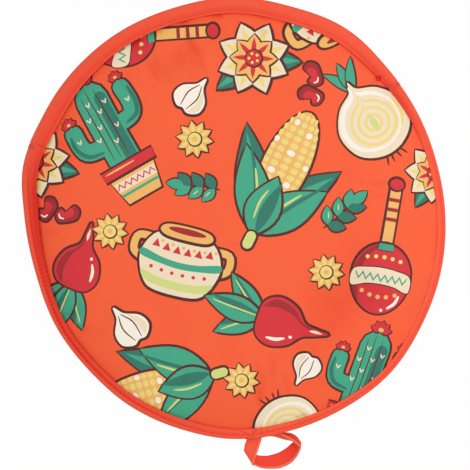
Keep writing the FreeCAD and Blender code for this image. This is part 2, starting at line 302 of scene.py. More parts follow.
def settle_folds():
    """How far the gathered cover stands over its smooth form, on a square grid."""
    x, y = np.meshgrid(SHEET_LINES, SHEET_LINES, indexing="ij")
    angle, inside = polar(x, y)
    from_tape = inside - tape_width(angle)
    smooth, used = smooth_height(angle, inside), from_tape > -SHEET_HOLD
    number = np.full(x.shape, -1)
    number[used] = np.arange(used.sum())
    corners = number[:-1, :-1], number[1:, :-1], number[1:, 1:], number[:-1, 1:]
    faces = np.stack(corners, axis=-1).reshape(-1, 4)
    start = smooth + TRACE * gathers(angle, from_tape) * MM
    gathered = around(angle, PUCKERS) / max(high for _, high in PUCKERS)
    slack = gathered ** 1.3 * np.exp(-np.abs(from_tape) / SLACK_REACH)
    points = np.column_stack([x[used], y[used], start[used]])
    sheet = cloth_sheet(points, faces[faces.min(axis=1) >= 0], from_tape[used] < 0, slack[used])
    rise = settled_heights(sheet) - smooth[used]
    away = np.maximum(from_tape[used], 0) / SHEET_STEP
    ring = away.astype(int)
    mean = np.bincount(ring, rise) / np.maximum(np.bincount(ring), 1)
    rise = rise - np.interp(away, np.arange(len(mean)) + 0.5, mean)
    table = np.zeros(x.shape)
    table[used] = FOLD_LIMIT * np.tanh(rise / FOLD_LIMIT)
    return table


FOLDS = settle_folds()
print(f"folds: {FOLDS.min() / MM:.2f} to {FOLDS.max() / MM:.2f} mm")


# %% Read the folds anywhere
def folds(x, y):
    """Reads the settled folds between the lines of their grid."""
    last = len(SHEET_LINES) - 1.01
    at = [np.clip((np.asarray(v) - SHEET_LINES[0]) / SHEET_STEP, 0, last) for v in (x, y)]
    (i, j), (s, t) = [v.astype(int) for v in at], [v % 1 for v in at]
    low, high = (FOLDS[i, k] * (1 - s) + FOLDS[i + 1, k] * s for k in (j, j + 1))
    return low * (1 - t) + high * t


# %% Heights with everything in them
QUILT_WAVES = [(0.7, 62, 1, 1.5), (0.22, 21, 1, 2.5)]  # the batting's own unevenness, as in ripples
QUILT_EDGE = 40 * MM  # it fades out from here to the rim
UNDER_PULL, UNDER_FADE = 0.6, 4 * MM  # layers under the cover are pulled down less, and fold later


def top_height(x, y, under=False):
    """Height of the cover, or of the smoother form that the layers under it follow."""
    angle, inside = polar(x, y)
    from_tape = inside - tape_width(angle)
    height = smooth_height(angle, inside, UNDER_PULL if under else 1.0)
    height = height + folds(x, y) * (ease(np.clip(from_tape / UNDER_FADE, 0, 1)) if under else 1.0)
    quilt = ripples(x, y, QUILT_WAVES) * np.clip(inside / QUILT_EDGE, 0, 1)
    return height + (quilt - pinches(angle, from_tape)) * MM


def bottom_height(x, y):
    return keel(polar(x, y)[1])


# %% The layers of a panel: name, thickness in the middle, thickness in the seam, in mm
COVER_THICK = 0.6
LAYERS = [("cover", COVER_THICK, COVER_THICK), ("batting", 3.0, 0.6), ("film", 0.25, 0.25),
          ("lining", 0.5, 0.5)]
AIR = 0.1  # between two layers
LOFT_START, LOFT_WIDTH = 2 * MM, 14 * MM  # where the batting swells up from the seam


def loft(inside):
    """0 where the seam squeezes the batting flat, 1 where it is loose."""
    return ease(np.clip((inside - LOFT_START) / LOFT_WIDTH, 0, 1))


def layer_depths(name, inside):
    """How deep the outer and inner faces of a layer lie under the panel's outside."""
    outer = 0.0
    for layer, middle, edge in LAYERS:
        thickness = edge + (middle - edge) * loft(inside)
        if layer == name:
            return outer * MM, (outer + thickness) * MM
        outer = outer + thickness + AIR
    raise KeyError(name)


# %% How the flap lies at rest
def lift(points):
    """Turns the flap's points up about the bend, as the mouth stands at rest."""
    x, y, z = points.T
    turn = REST_LIFT * ease(np.clip((y - BEND.y) / (BEND_END - BEND.y), 0, 1))
    out, up = y - BEND.y, z - BEND.z
    return np.column_stack([
        x,
        BEND.y + out * np.cos(turn) - up * np.sin(turn),
        BEND.z + out * np.sin(turn) + up * np.cos(turn),
    ])


# %% [markdown]
# ## Cloth materials
#
# Printed polyester is smooth, a little satin, and woven so finely that the eye sees only a
# faint grain. Each cloth below is a node tree with the same parts: a colour that drifts a
# few percent, painted shade mixed in by an attribute of the mesh, a weave from two crossed
# wave textures that only bends the light, and a soft sheen set on the shader itself. The
# weave is read from a UV map that holds the flat cloth's own millimetres, so it bends and
# moves with the piece.


# %% Colours and node helpers
def colour(code, bright=1.0):
    """An sRGB hex code as the linear colour that a shader wants."""
    parts = [int(code[i:i + 2], 16) / 255 for i in (0, 2, 4)]
    linear = [p / 12.92 if p <= 0.04045 else ((p + 0.055) / 1.055) ** 2.4 for p in parts]
    return (*[min(1.0, c * bright) for c in linear], 1.0)


PAINTED_SHADE_DARK, PAINTED_SHADE_FULL = 0.78, 1.65


def painted_shade_colour(code):
    """Painted shade: where light has met the cloth twice, deep in creases, its colour is darker and fuller.
    """
    return (*[PAINTED_SHADE_DARK * c ** PAINTED_SHADE_FULL for c in colour(code)[:3]], 1.0)


# %% A short way to write node trees
class Tree:
    """A material's node tree, with one short call for each node and each link."""

    def __init__(self, name):
        self.material = bpy.data.materials.new(name)
        self.material.use_nodes = True
        self.nodes = self.material.node_tree.nodes
        self.shader = self.nodes["Principled BSDF"]

    def node(self, kind, **settings):
        made = self.nodes.new(kind)
        for key, value in settings.items():
            if key in made.inputs:
                self.put(made.inputs[key], value)
            else:
                setattr(made, key, value)
        return made

    def put(self, socket, value):
        if isinstance(value, bpy.types.NodeSocket):
            self.material.node_tree.links.new(value, socket)
        else:
            socket.default_value = value

    def surface(self, **settings):
        """Fills the shader's own sockets, with _ for each space in a socket's name."""
        for key, value in settings.items():
            self.put(self.shader.inputs[key.replace("_", " ")], value)

    def maths(self, operation, first, second=0.0):
        made = self.node("ShaderNodeMath", operation=operation)
        for socket, value in zip(made.inputs, (first, second)):
            self.put(socket, value)
        return made.outputs[0]

    def mix(self, share, first, second):
        made = self.node("ShaderNodeMix", data_type="RGBA")
        for place, value in ((0, share), (6, first), (7, second)):
            self.put(made.inputs[place], value)
        return made.outputs[2]

    def noise(self, where, scale, detail):
        return self.node("ShaderNodeTexNoise", Vector=where, Scale=scale, Detail=detail).outputs[0]


CLOTH_MAP = "cloth"  # UV map that holds the flat cloth's own place, in units of 100 mm
MAP_UNIT = 0.1
# painted shade: an attribute of each mesh, from 0 in the open to 1 in the deepest shade
PAINTED_SHADE = "painted_shade"  # attribute from 0 in the open to 1 deep in a crease


# %% One function for every woven material
FUZZ_SCALE, BROAD_SCALE, FINE_SCALE = 260.0, 3.2, 42.0  # of the noises, for each map unit
WEAVE_HEIGHT = 0.08 * MM
SHEEN_ROUGHNESS, SPECULAR = 0.45, 0.22


def woven(name, code, thread=0.7, relief=0.25, rough=0.62, sheen=0.06, drift=0.05, slant=0.0):
    """A woven cloth. thread is the width of a thread in mm, and slant turns the weave."""
    tree = Tree(name)
    place = tree.node("ShaderNodeUVMap", uv_map=CLOTH_MAP).outputs[0]
    turned = tree.node("ShaderNodeMapping", Vector=place)
    turned.inputs["Rotation"].default_value = (0, 0, math.radians(slant))
    grain = turned.outputs[0]
    bands = math.pi * MAP_UNIT / (thread * MM) / 10  # a wave's Scale that gives a band for each thread
    weave = tree.maths("ADD", *[
        tree.node("ShaderNodeTexWave", wave_type="BANDS", bands_direction=way, Vector=grain,
                  Scale=bands).outputs[1] for way in "XY"])
    fuzz = tree.noise(grain, FUZZ_SCALE, 3.0)
    height = tree.maths("ADD", weave, tree.maths("MULTIPLY", fuzz, 0.8))
    bump = tree.node("ShaderNodeBump", Strength=relief, Distance=WEAVE_HEIGHT, Height=height)
    broad, fine = tree.noise(place, BROAD_SCALE, 3.0), tree.noise(place, FINE_SCALE, 4.0)
    shade = tree.maths("ADD", tree.maths("MULTIPLY", broad, 0.7), tree.maths("MULTIPLY", fine, 0.3))
    open_cloth = tree.mix(shade, colour(code, 1 - drift), colour(code, 1 + drift))
    # painted shade: the attribute mixes in the darker, fuller colour where shade would fall
    painted_shade = tree.node("ShaderNodeAttribute", attribute_name=PAINTED_SHADE).outputs["Fac"]
    tree.surface(Base_Color=tree.mix(painted_shade, open_cloth, painted_shade_colour(code)),
                 Roughness=tree.maths("ADD", rough - 0.06, tree.maths("MULTIPLY", fine, 0.12)),
                 Normal=bump.outputs[0], Sheen_Weight=sheen, Sheen_Roughness=SHEEN_ROUGHNESS,
                 Specular_IOR_Level=SPECULAR)
    return tree.material


# %% The finishes
INK = {  # the inks of the print, as sRGB codes
    "ground": "F96037",
    "outline": "5A2A24",
    "cream": "F1DDBE",
    "straw": "EFD77F",
    "corn": "F2B768",
    "green": "45A886",
    "leaf": "357A68",
    "red": "D8343B",
    "wine": "A82C30",
    "lime": "D3D983",
    "white": "FBEFE0",
}
inks = {name: woven(f"print_{name}", code) for name, code in INK.items()}
cloth_back = woven("cloth_back", "F3B9A2", sheen=0.05)
bias = {"thread": 0.8, "relief": 0.4, "sheen": 0.1, "slant": 45}  # bias tape is cut on the slant
tape_cloth = woven("binding_tape", "FB5B3C", rough=0.58, **bias)
tape_hem = woven("tape_hem", "FB7050", rough=0.6, **bias)
# painted shade and bounced light: a deeper red copy of the tape for the inside of the loop's back leaf
tape_inside_painted_shade = woven("tape_inside_painted_shade", "F94530", rough=0.6, **bias)
lining_cloth = woven("lining_cloth", "EFE6D6", thread=0.9, relief=0.35, rough=0.75)
batting_fluff = woven("batting_fluff", "F4F1EA", thread=2.2, relief=0.8, rough=0.95, sheen=0.3)
film_skin = woven("moisture_film", "D9DDE0", thread=3.0, relief=0.1, rough=0.3, sheen=0.0, drift=0.02)
thread_twist = woven("sewing_thread", "EE4E36", thread=0.35, relief=0.5, rough=0.5)
print("materials:", len(bpy.data.materials))


# %% [markdown]
# ## Meshes
#
# Every layer is a closed shell of cloth: a net of points in the plane gives its upper face,
# the same net gives its lower face, and a strip of quads joins their borders. Closed meshes
# shade cleanly, cast proper shadows and can be printed or measured.


# %% Mesh helpers
def add_piece(name, points, faces, materials, flat=None, paint=None, normals=None, painted_shade=None):
    """A mesh object. flat is each point's own place on the cloth, for the cloth's UV map."""
    mesh = bpy.data.meshes.new(name)
    mesh.from_pydata(np.asarray(points, float).tolist(), [], faces)
    for material in materials:
        mesh.materials.append(material)
    if paint is not None:
        mesh.polygons.foreach_set("material_index", paint)
    mesh.polygons.foreach_set("use_smooth", np.ones(len(mesh.polygons), bool))
    flat = np.asarray(points, float)[:, :2] if flat is None else flat
    corner = np.zeros(len(mesh.loops), np.int32)
    mesh.loops.foreach_get("vertex_index", corner)
    layer = mesh.uv_layers.new(name=CLOTH_MAP)
    layer.data.foreach_set("uv", (flat[corner] / MAP_UNIT).astype(np.float32).ravel())
    # painted shade for each point, which every cloth material reads
    if painted_shade is not None:
        dark = mesh.attributes.new(PAINTED_SHADE, "FLOAT", "POINT")
        dark.data.foreach_set("value", np.clip(painted_shade, 0, 1).astype(np.float32))
    mesh.update()
    if normals is not None:
        mesh.normals_split_custom_set_from_vertices(normals)
    piece = bpy.data.objects.new(name, mesh)
    bpy.context.scene.collection.objects.link(piece)
    print(f"{name}: {len(points)} points, {len(faces)} faces")
    return piece


# %% Quads between rows of points
def quads_round(rows, columns, start=0, turned=False):
    """Quads between closed rows of points, with their corners in the other direction when turned."""
    here = start + np.arange(rows * columns).reshape(rows, columns)
    after = np.roll(here, -1, axis=1)
    quads = np.stack([here[:-1], after[:-1], after[1:], here[1:]], axis=2).reshape(-1, 4)
    return (quads[:, [0, 3, 2, 1]] if turned else quads).tolist()


def tube(rows, columns, start=0, turned=False):
    """The same quads, with a cap at each end."""
    first, last = (start + row * columns + np.arange(columns) for row in (0, rows - 1))
    caps = [first, last[::-1]] if turned else [first[::-1], last]
    return quads_round(rows, columns, start, turned) + [cap.tolist() for cap in caps]


# %% Closed shells
def shell(name, net, upper, lower, material, lifted=False):
    """A closed shell over a net, which is (x, y points, faces, border)."""
    plane, faces, border = net
    count = len(plane)
    points = np.vstack([np.column_stack([plane, upper]), np.column_stack([plane, lower])])
    if lifted:
        points = lift(points)
    under = [[count + corner for corner in reversed(face)] for face in faces]
    pairs = zip(border.tolist(), np.roll(border, -1).tolist())
    strip = [[a, a + count, b + count, b] for a, b in pairs]
    return add_piece(name, points, faces + under + strip, [material], np.vstack([plane, plane]))


# %% Layers inside the panels
NET_STEP = 3.2 * MM


def ring_net(edge):
    """A plain net of rings that follow the rim, edge inside it."""
    reach = MEAN_RADIUS - edge
    rings, sectors = int(reach / NET_STEP), int(2 * math.pi * reach / NET_STEP)
    angles = np.arange(sectors) * 360 / sectors
    radius = rim_radius(angles) - edge
    way = np.column_stack([np.cos(np.radians(angles)), np.sin(np.radians(angles))])
    shares = np.arange(1, rings + 1) / rings
    plane = np.vstack([[0.0, 0.0]] + [way * (radius * share)[:, None] for share in shares])
    fan = [[0, 1 + i, 1 + (i + 1) % sectors] for i in range(sectors)]
    faces = fan + quads_round(rings, sectors, start=1, turned=True)
    return plane, faces, 1 + (rings - 1) * sectors + np.arange(sectors)


def fit_layer(name, panel, layer, edge, material):
    """A hidden or inner layer, at its own depth inside the top or bottom panel."""
    net = ring_net(edge)
    x, y = net[0].T
    outer, inner = layer_depths(layer, polar(x, y)[1])
    if panel == "top":
        face = top_height(x, y, under=True)
        return shell(name, net, face - outer, face - inner, material, lifted=True)
    face = bottom_height(x, y)
    return shell(name, net, face + inner, face + outer, material)


def bend_with_flap(piece):
    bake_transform(piece)


def join_panel(piece, panel, layer):
    """The piece stands for its layer's nodes, which it hides; a bottom piece is attached to the pouch."""
    if panel == "top":
        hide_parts(f"top_{layer}", f"flap_{layer}")
        bend_with_flap(piece)
    else:
        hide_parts(f"bottom_{layer}")
        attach(piece, "pouch")


# %% [markdown]
# ## Drawing the print
#
# Kitchen cloth like this is printed with bold little drawings: flat inks inside a dark brown
# line, which is thicker on its lower right. Each drawing is a list of (ink, outline) in
# millimetres about its own middle, the lowest ink first. A few helpers make nearly every
# shape in it: an egg, a leaf, a stroke of a brush, a rod, and a smooth blob through some
# corners. Drawing by code keeps every line sharp however near the camera comes.


# %% Outlines
def placed(shape, at=(0, 0), turn=0.0, size=1.0):
    """A shape scaled, turned by degrees and moved."""
    c, s = math.cos(math.radians(turn)), math.sin(math.radians(turn))
    return np.asarray(shape, float) @ np.array([[c, s], [-s, c]]) * size + np.asarray(at, float)


def move(art, at, turn=0.0, size=1.0):
    """A whole drawing turned and moved."""
    return [(ink, placed(shape, at, turn, size)) for ink, shape in art]


def egg(width, height, taper=0.0, at=(0, 0), count=20):
    """An oval, fuller at its top where the taper is positive."""
    t = np.linspace(0, 2 * math.pi, count, endpoint=False)
    shape = np.column_stack([-width / 2 * np.sin(t) * (1 + taper * np.cos(t)), height / 2 * np.cos(t)])
    return placed(shape, at)


BLOB_STEPS = 5  # points for each corner


def blob(*corners):
    """A smooth closed line through a few corners."""
    ring = smooth_curve(corners[-2:] + corners + corners[:2], (len(corners) + 3) * BLOB_STEPS + 1)
    return ring[2 * BLOB_STEPS:-BLOB_STEPS - 1][:len(corners) * BLOB_STEPS]


def both_sides(*half):
    """Corners of a blob that is the same left and right, given down its left side."""
    return blob(*half, *[(-x, y) for x, y in half[::-1] if x != 0])


# %% Leaves, strokes and rods
def leaf(length, width, bend=0.0, at=(0, 0), turn=0.0, count=11):
    """A leaf from its stalk up to its tip, bending to the right."""
    s = np.linspace(0, 1, count)
    middle, half = bend * s ** 2, width / 2 * np.sin(math.pi * s ** 0.85)
    right, left = (np.column_stack([middle + way * half, length * s]) for way in (1, -1))
    return placed(np.vstack([right, left[-2:0:-1]]), at, turn)


def along(stops, count):
    """Points along a line through stops, and which way is right of it."""
    line = smooth_curve(stops, count)
    ahead = np.gradient(line, axis=0)
    ahead /= np.linalg.norm(ahead, axis=1)[:, None]
    return line, ahead, np.column_stack([ahead[:, 1], -ahead[:, 0]])


def stroke(*stops, width=1.0, ends=0.4, count=10):
    """A brush stroke, thinner towards its ends."""
    line, _, right = along(stops, count)
    half = width / 2 * (ends + (1 - ends) * np.sin(np.linspace(0, math.pi, count)) ** 0.6)[:, None]
    return np.vstack([line + right * half, (line - right * half)[::-1]])


def rod(*stops, width=10.0, count=14):
    """A thick line with round ends."""
    line, ahead, right = along(stops, count)
    turns = np.radians([30, 60, 90, 120, 150])[:, None]
    tail, cap = (width / 2 * (np.cos(turns) * right[end] + np.sin(turns) * ahead[end]) for end in (0, -1))
    side = right * width / 2
    return np.vstack([line + side, line[-1] + cap, (line - side)[::-1], line[0] - tail])


def zigzag(reach, y, tall, teeth, width=1.5):
    """A zigzag line from one side to the other."""
    x = np.linspace(-reach, reach, 2 * teeth + 1)
    low = np.column_stack([x, y + tall * (np.arange(2 * teeth + 1) % 2)])
    return np.vstack([low, (low + (0, width))[::-1]])


def spray(count, ink, length, width, start=0.0, out=0.0):
    """Leaves or petals all round a point."""
    return [(ink, placed(leaf(length, width, at=(0, out), count=9), turn=start + i * 360 / count))
            for i in range(count)]


# %% The brown line round a shape
LINE = 1.7  # its width
LINE_SHIFT = (0.22, -0.26)  # it sits a little down to the right


def grown(shape, by):
    """A shape pushed outwards all round."""
    after = np.roll(shape, -1, 0)
    ahead = after - np.roll(shape, 1, 0)
    ahead /= np.maximum(np.linalg.norm(ahead, axis=1), 1e-6)[:, None]
    turns_left = (shape[:, 0] * after[:, 1] - shape[:, 1] * after[:, 0]).sum() > 0
    return shape + (by if turns_left else -by) * np.column_stack([ahead[:, 1], -ahead[:, 0]])


def inked(*fills, line=LINE):
    """Shapes that share one brown line."""
    return [("outline", grown(shape, line) + LINE_SHIFT) for _, shape in fills] + list(fills)


# %% Corn and radish
def corn_cob():
    half, tall, middle = 16, 37, 12
    art = inked(("leaf", leaf(72, 25, -15, (-3, -42), 16)), ("leaf", leaf(70, 25, 15, (3, -42), -16)))
    art += [("green", leaf(62, 8, -12, (-5, -38), 17)), ("green", leaf(60, 8, 12, (5, -38), -17))]
    art += inked(("corn", egg(2 * half, 2 * tall, -0.08, (0, middle), 30)))
    for row in range(13):
        y = middle - tall + 5 + row * 5.35
        reach = half * math.sqrt(1 - ((y - middle) / tall) ** 2)
        for column in range(-2, 3):
            x, wide = reach * math.sin(column * 0.46) * 1.08, reach * 0.4 * math.cos(column * 0.46)
            kernel = egg(max(1.6, wide), 4.5, 0.1, (x - 0.3, y + 0.3), 10)
            art.append(("straw" if (row * 2 + column) % 7 else "white", kernel))
    art += inked(("green", leaf(60, 24, -10, (-1, -43), 20)))
    art += [("leaf", stroke((-2, -38), (-14, -10), (-27, 10), width=2.6))]
    art += [("lime", stroke((-4, -30), (-11, -14), (-18, -2), width=1.8))]
    art += inked(("green", leaf(56, 26, 10, (2, -43), -24)))
    art += [("leaf", stroke((4, -38), (17, -14), (30, 5), width=2.8))]
    art += [("lime", stroke((5, -28), (12, -16), (19, -5), width=1.8))]
    art += inked(("green", leaf(44, 24, 2, (0, -45), 4)))
    art += [("leaf", leaf(40, 9, 3, (2, -43), 2))]
    art += [("lime", stroke((-4, -34), (-5, -22), (-3, -12), width=1.7))]
    return art + inked(("lime", rod((0, -52), (0, -46), width=7, count=4)))


def radish():
    art = []
    for turn, length, width, lean in ((26, 36, 15, -5), (-28, 38, 15, 6), (0, 44, 17, 2)):
        art += inked(("green", leaf(length, width, lean, (0, 10), turn)))
        vein = stroke((0, 3), (lean * 0.3, length * 0.5), (lean * 0.8, length * 0.86), width=1.3)
        art += [("leaf", leaf(length * 0.86, width * 0.36, lean, (1, 13), turn - 3))]
        art += [("lime", placed(vein, (0, 10), turn))]
    art += inked(("red", blob((0, 14), (-12, 12), (-17.5, 2), (-14, -11), (-5, -20), (-1.6, -29), (2.5, -38),
                              (3.4, -30), (5, -20), (14, -11), (17.5, 2), (12, 12))))
    art += [("wine", blob((8, 12), (15.4, 4), (13, -9), (5, -18), (2.4, -30), (2.4, -20), (8, -10), (10, 2)))]
    art += [("cream", leaf(10, 2.2, 0.8, (0.9, -24), 188))]
    art += [("white", stroke((-12.6, 4), (-12, -3), (-9.4, -9), width=2.4))]
    return art + [("white", egg(2.2, 2.6, 0, (-7.4, -12.6), 8))]


# %% Onion, garlic, beans and a sprig
def onion():
    skin = both_sides((0, 31), (-3.2, 24), (-16, 17), (-25.5, 2), (-22, -16), (-8, -25.5))
    art = []
    for x, lean in ((-1.5, -7), (0, 1), (1.5, 8)):
        art += inked(("green", leaf(22, 7, lean, (x, 24), -lean)), line=1.1)
    art += [("outline", stroke((x * 0.4, -24), (x * 0.8, -29), (x, -33), width=1.4)) for x in (-8, -3, 3, 8)]
    art += inked(("cream", skin))
    art += [("white", placed(skin, (-1.6, 1.4), 0, 0.86)), ("cream", placed(skin, (-0.6, 0.6), 0, 0.76))]
    for size in (0.66, 0.46, 0.26):
        low = (0, -2.5 * (1 - size))
        art += [("straw", placed(skin, low, 0, size)), ("cream", placed(skin, low, 0, size - 0.075))]
    art += [("lime", leaf(13, 5, at=(0, -9))), ("straw", stroke((20.5, 6), (21, -6), (16, -15), width=2.4))]
    return art + [("white", stroke((-19.5, 7), (-21, -2), (-19, -10), width=2.0))]


def garlic():
    art = inked(("white", both_sides((0, 15), (-3, 8), (-10, 1), (-11, -7), (-5, -12), (0, -11))))
    art += [("cream", blob((4, 6), (5.4, -3), (4.6, -10.6), (9.6, -7), (9, 0)))]
    return art + [("outline", stroke((x * 0.2, 9), (x, 0), (x * 0.6, -10.4), width=0.9)) for x in (-4, 4)]


def beans():
    shape = blob((-9, 2), (-8.5, -5), (-1, -6.4), (7, -5.6), (10.6, 0.5), (7.4, 5.4), (3, 3.2), (-1, 1.6),
                 (-4.4, 5.4))
    bean = inked(("wine", shape)) + [("red", placed(shape, (-0.6, 0.6), 0, 0.66))]
    bean += [("white", stroke((-6.6, 1.6), (-6.2, -2), (-3, -3.6), width=1.4))]
    return move(bean, (-6, 6), 25) + move(bean, (7, -6), -20)


def sprig():
    art = [("outline", stroke((0, -17), (1, -4), (-1, 12), width=2.0))]
    leaves = []
    for y, turn in ((-13, 52), (-13, -52), (-4, 46), (-4, -46), (5, 38), (5, -38), (10, 0)):
        leaves += [("green" if turn >= 0 else "leaf", leaf(13, 7.4, 0, (0, y), turn, 8))]
    art += inked(*leaves, line=1.1)
    return art + [("lime", stroke((-2.5, y), (-6.2, y + 3), width=1.0, count=4)) for y in (-10, -1)]


# %% Flowers
def flower():
    art = []
    for turn, side in ((118, -1), (-122, 1)):
        art += inked(("leaf", leaf(30, 14, -4 * side, (0, 0), turn)))
        art += [("green", leaf(26, 5, -4 * side, (3 * side, -1), turn))]
    art += inked(*spray(8, "cream", 23, 15)) + spray(8, "straw", 18, 4.6, out=2)
    art += inked(*spray(8, "corn", 15, 10, 22.5), line=1.0) + spray(8, "red", 11, 3, 22.5, 2)
    art += inked(("red", egg(10, 10)), line=1.0)
    return art + [("straw", placed(egg(1.9, 1.9, 0, (0, 2.9), 7), turn=turn)) for turn in range(0, 360, 72)]


def marigold():
    art = inked(*spray(10, "corn", 13, 6.4), line=1.1) + spray(10, "straw", 10.5, 2.4, out=1.5)
    return art + inked(("straw", egg(9, 9, count=14)), line=0.9) + [("corn", egg(4, 4, count=9))]


# %% A painted band and a clay pot
def band(low, high, half, top=None):
    """A painted band, a little wider at its top unless told how wide."""
    top = half * 1.03 if top is None else top
    return np.array([(-half, low), (half, low), (top, high), (-top, high)])


def clay_pot(width, height, y):
    """A flower pot with a painted band; its rim is at y."""
    top = width / 2
    art = inked(("corn", band(y - height, y - 5, width * 0.36, top)))
    art += [("cream", band(y - 17, y - 10, top * 0.86)), ("red", zigzag(top * 0.84, y - 15.9, 3.6, 6))]
    art += [("green", band(y - 21, y - 19, top * 0.81))] + inked(("red", band(y - 6, y + 1, top + 2)))
    return art + [("corn", stroke((-top, y - 1.4), (top * 0.3, y - 1.4), width=1.4))]


# %% Cactus
def cactus():
    art = inked(("green", rod((-8, 0), (-20, 2), (-23, 9), (-23, 19), width=12)),
                ("green", rod((8, 9), (20, 11), (23.5, 19), (23, 31), width=11.5)),
                ("green", rod((0, -14), (0, 14), (0.5, 34), width=23)))
    art += [("leaf", rod((5.6, -14), (6, 14), (6.4, 32), width=9, count=10))]
    art += [("leaf", stroke((-10, -3.4), (-21, -1), (-26.4, 8), (-26, 18), width=3.2))]
    art += [("leaf", stroke((14, 7), (24, 10), (27.4, 19), (27, 30), width=3.4))]
    for x, high in ((-6.5, 38), (-1.5, 42), (4.5, 40)):
        art.append(("outline", stroke((x, -12), (x + 0.4, high / 2 - 6), (x + 0.3, high), width=0.9)))
    spine = stroke((0, 0), (0, 3.4), width=1.0, ends=0.7, count=4)
    for spot in ((-9, 4), (-8.5, 20), (-4, 12), (-4, 30), (1.6, -2), (1.6, 22), (7.6, 8), (8, 27),
                 (-22, 10), (23, 20)):
        art += [("cream", placed(spine, spot, lean)) for lean in (-28, 28)]
    for x, y, wide in ((0.5, 46.5, 8.5), (-23, 25.5, 6), (22.8, 38, 5.6)):
        petals = [("red", leaf(wide, wide * 0.62, 0, (x, y), turn, 7)) for turn in (-75, -38, 0, 38, 75)]
        art += inked(*petals, line=0.9) + [("corn", egg(wide * 0.5, wide * 0.4, 0, (x, y + 1), 10))]
    return art + clay_pot(36, 27, -17)


# %% Maraca and bean pot
def maraca():
    art = inked(("corn", rod((0, -44), (0, 0), width=7.5, count=6)))
    art += [("wine", band(y, y + 2.6, 3.7, 3.7)) for y in (-36, -29, -22)]
    art += inked(("red", egg(42, 50, -0.06, (0, 22), 34)))
    art += [("wine", blob((4, -2), (14, 4), (20, 16), (20.4, 28), (14, 40), (16, 26), (13, 10)))]
    belt = blob((-20.4, 18), (-10, 15), (0, 14.2), (10, 15), (20.4, 18), (20.6, 29), (10, 26.4), (0, 25.6),
                (-10, 26.4), (-20.6, 29))
    art += [("outline", grown(belt, 0.8)), ("cream", belt), ("green", zigzag(18.6, 18.2, 4.4, 7, 2.0))]
    for x in (-12, -6, 0, 6, 12):
        art += [("corn", egg(3.2, 3.2, 0, (x, 35 - 0.02 * x * x), 9))]
        art += [("straw", egg(3, 3, 0, (x, 6.4 + 0.01 * x * x), 9))]
    art += [("white", stroke((-15, 32), (-12.6, 38), (-7.6, 42.4), width=2.2))]
    art += [("white", egg(2.2, 2.2, 0, (-4, 44), 8))]
    art += inked(("green", band(-3, 1.5, 5, 5.6)), line=1.0)
    return art + inked(("red", egg(10, 8, 0, (0, -46))))


def bean_pot():
    art = inked(*[("corn", rod((19 * side, 10), (29 * side, 9), (30 * side, 0), (24 * side, -4), width=4.6))
                  for side in (-1, 1)])
    art += inked(("cream", both_sides((-13, 15), (-22, 9), (-25.5, -3), (-20, -17), (-11, -22))))
    art += [("green", both_sides((0, -2), (-12, -1), (-24.6, 2), (-25, -2.5), (-12, -5), (0, -6)))]
    art += [("lime", both_sides((-10, -14), (-22.5, -11), (-19.5, -16.6), (-9, -19)))]
    for x in (-17, -10.2, -3.4, 3.4, 10.2, 17):
        y = 3 + 0.006 * x * x
        art += [("red", np.array([(x - 2.6, y), (x + 2.6, y), (x, y + 5)]))]
        art += [("corn", egg(2.2, 2.2, 0, (x + 3.4, y + 4.2), 7))]
        art += [("red", egg(2.4, 2.4, 0, (x, -9.5 + 0.005 * x * x), 8))]
    art += inked(("corn", both_sides((-8, 20.6), (-15, 19), (-16.5, 15.4), (-10, 12.6))))
    return art + [("wine", egg(24, 4, 0, (0, 17.6)))]


# %% The layout: drawing, middle in mm from the pouch's centre, turn, size
TOP_PRINT = [
    (corn_cob, 36, 22, -36, 1.0), (cactus, -73, 66, 20, 0.98), (bean_pot, -42, -23, -24, 1.12),
    (maraca, 100, -40, 160, 0.98), (radish, -115, -18, 148, 0.92), (onion, 106, 50, 24, 1.0),
    (flower, 32, 106, 10, 1.1), (corn_cob, -74, -110, 96, 0.92), (radish, 16, -77, 62, 0.98),
    (flower, -131, 62, 0, 1.05), (cactus, 66, -134, -28, 0.92), (bean_pot, 90, 130, -160, 1.1),
    (maraca, -36, 134, 84, 0.95), (flower, 143, 6, 30, 0.9), (onion, 12, -154, 200, 0.9),
    (marigold, -18, 58, 0, 1.0), (sprig, 74, -10, -60, 1.0), (garlic, -86, -62, 30, 1.1),
    (marigold, 56, -49, 0, 0.95), (sprig, -22, 25, 72, 0.95), (garlic, -14, 88, -50, 1.0),
    (marigold, -87, 5, 0, 0.95), (marigold, -15, -113, 0, 0.95), (beans, 69, 80, 118, 0.85),
    (beans, -122, 25, 20, 0.85), (garlic, 30, -113, 140, 0.85),
]
# the other side of the pouch is cut from another place on the same cloth
BOTTOM_PRINT = [(drawing, -x, y, -turn, size) for drawing, x, y, turn, size in TOP_PRINT]


def print_of(layout):
    shapes = []
    for drawing, x, y, turn, size in layout:
        shapes += move(drawing(), (x, y), turn, size)
    return shapes


print("shapes in the print:", len(print_of(TOP_PRINT)))

# %% [markdown]
# ## The covers
#
# The print is dye in the cloth's own threads. A picture on the cloth's UV map would be the
# usual way to show it, but that turns soft from close by. So the print is part of the mesh:
# the outlines of the motifs are cut into the net as edges, and every triangle wears the ink
# of the topmost shape that holds it. A Delaunay triangulation with the outlines as
# constraints does the cutting.


# %% Rings of points that follow the rim
def ring(inside, spacing, offset=0.0):
    """Points all round, inside the rim by a distance that may differ at each angle."""
    count = max(6, int(2 * math.pi * (MEAN_RADIUS - np.mean(inside(np.zeros(1)))) / spacing))
    angles = (np.arange(count) + offset) * 360 / count
    return on_rim(angles, inside(angles))


CLOSE_RINGS = [0.6, 1.4, 2.2, 3.0, 4.4, 6.0, 8.0]  # mm from the tape
WIDE_RINGS = 10.5, MEAN_RADIUS / MM - 20  # the first and the last of the others


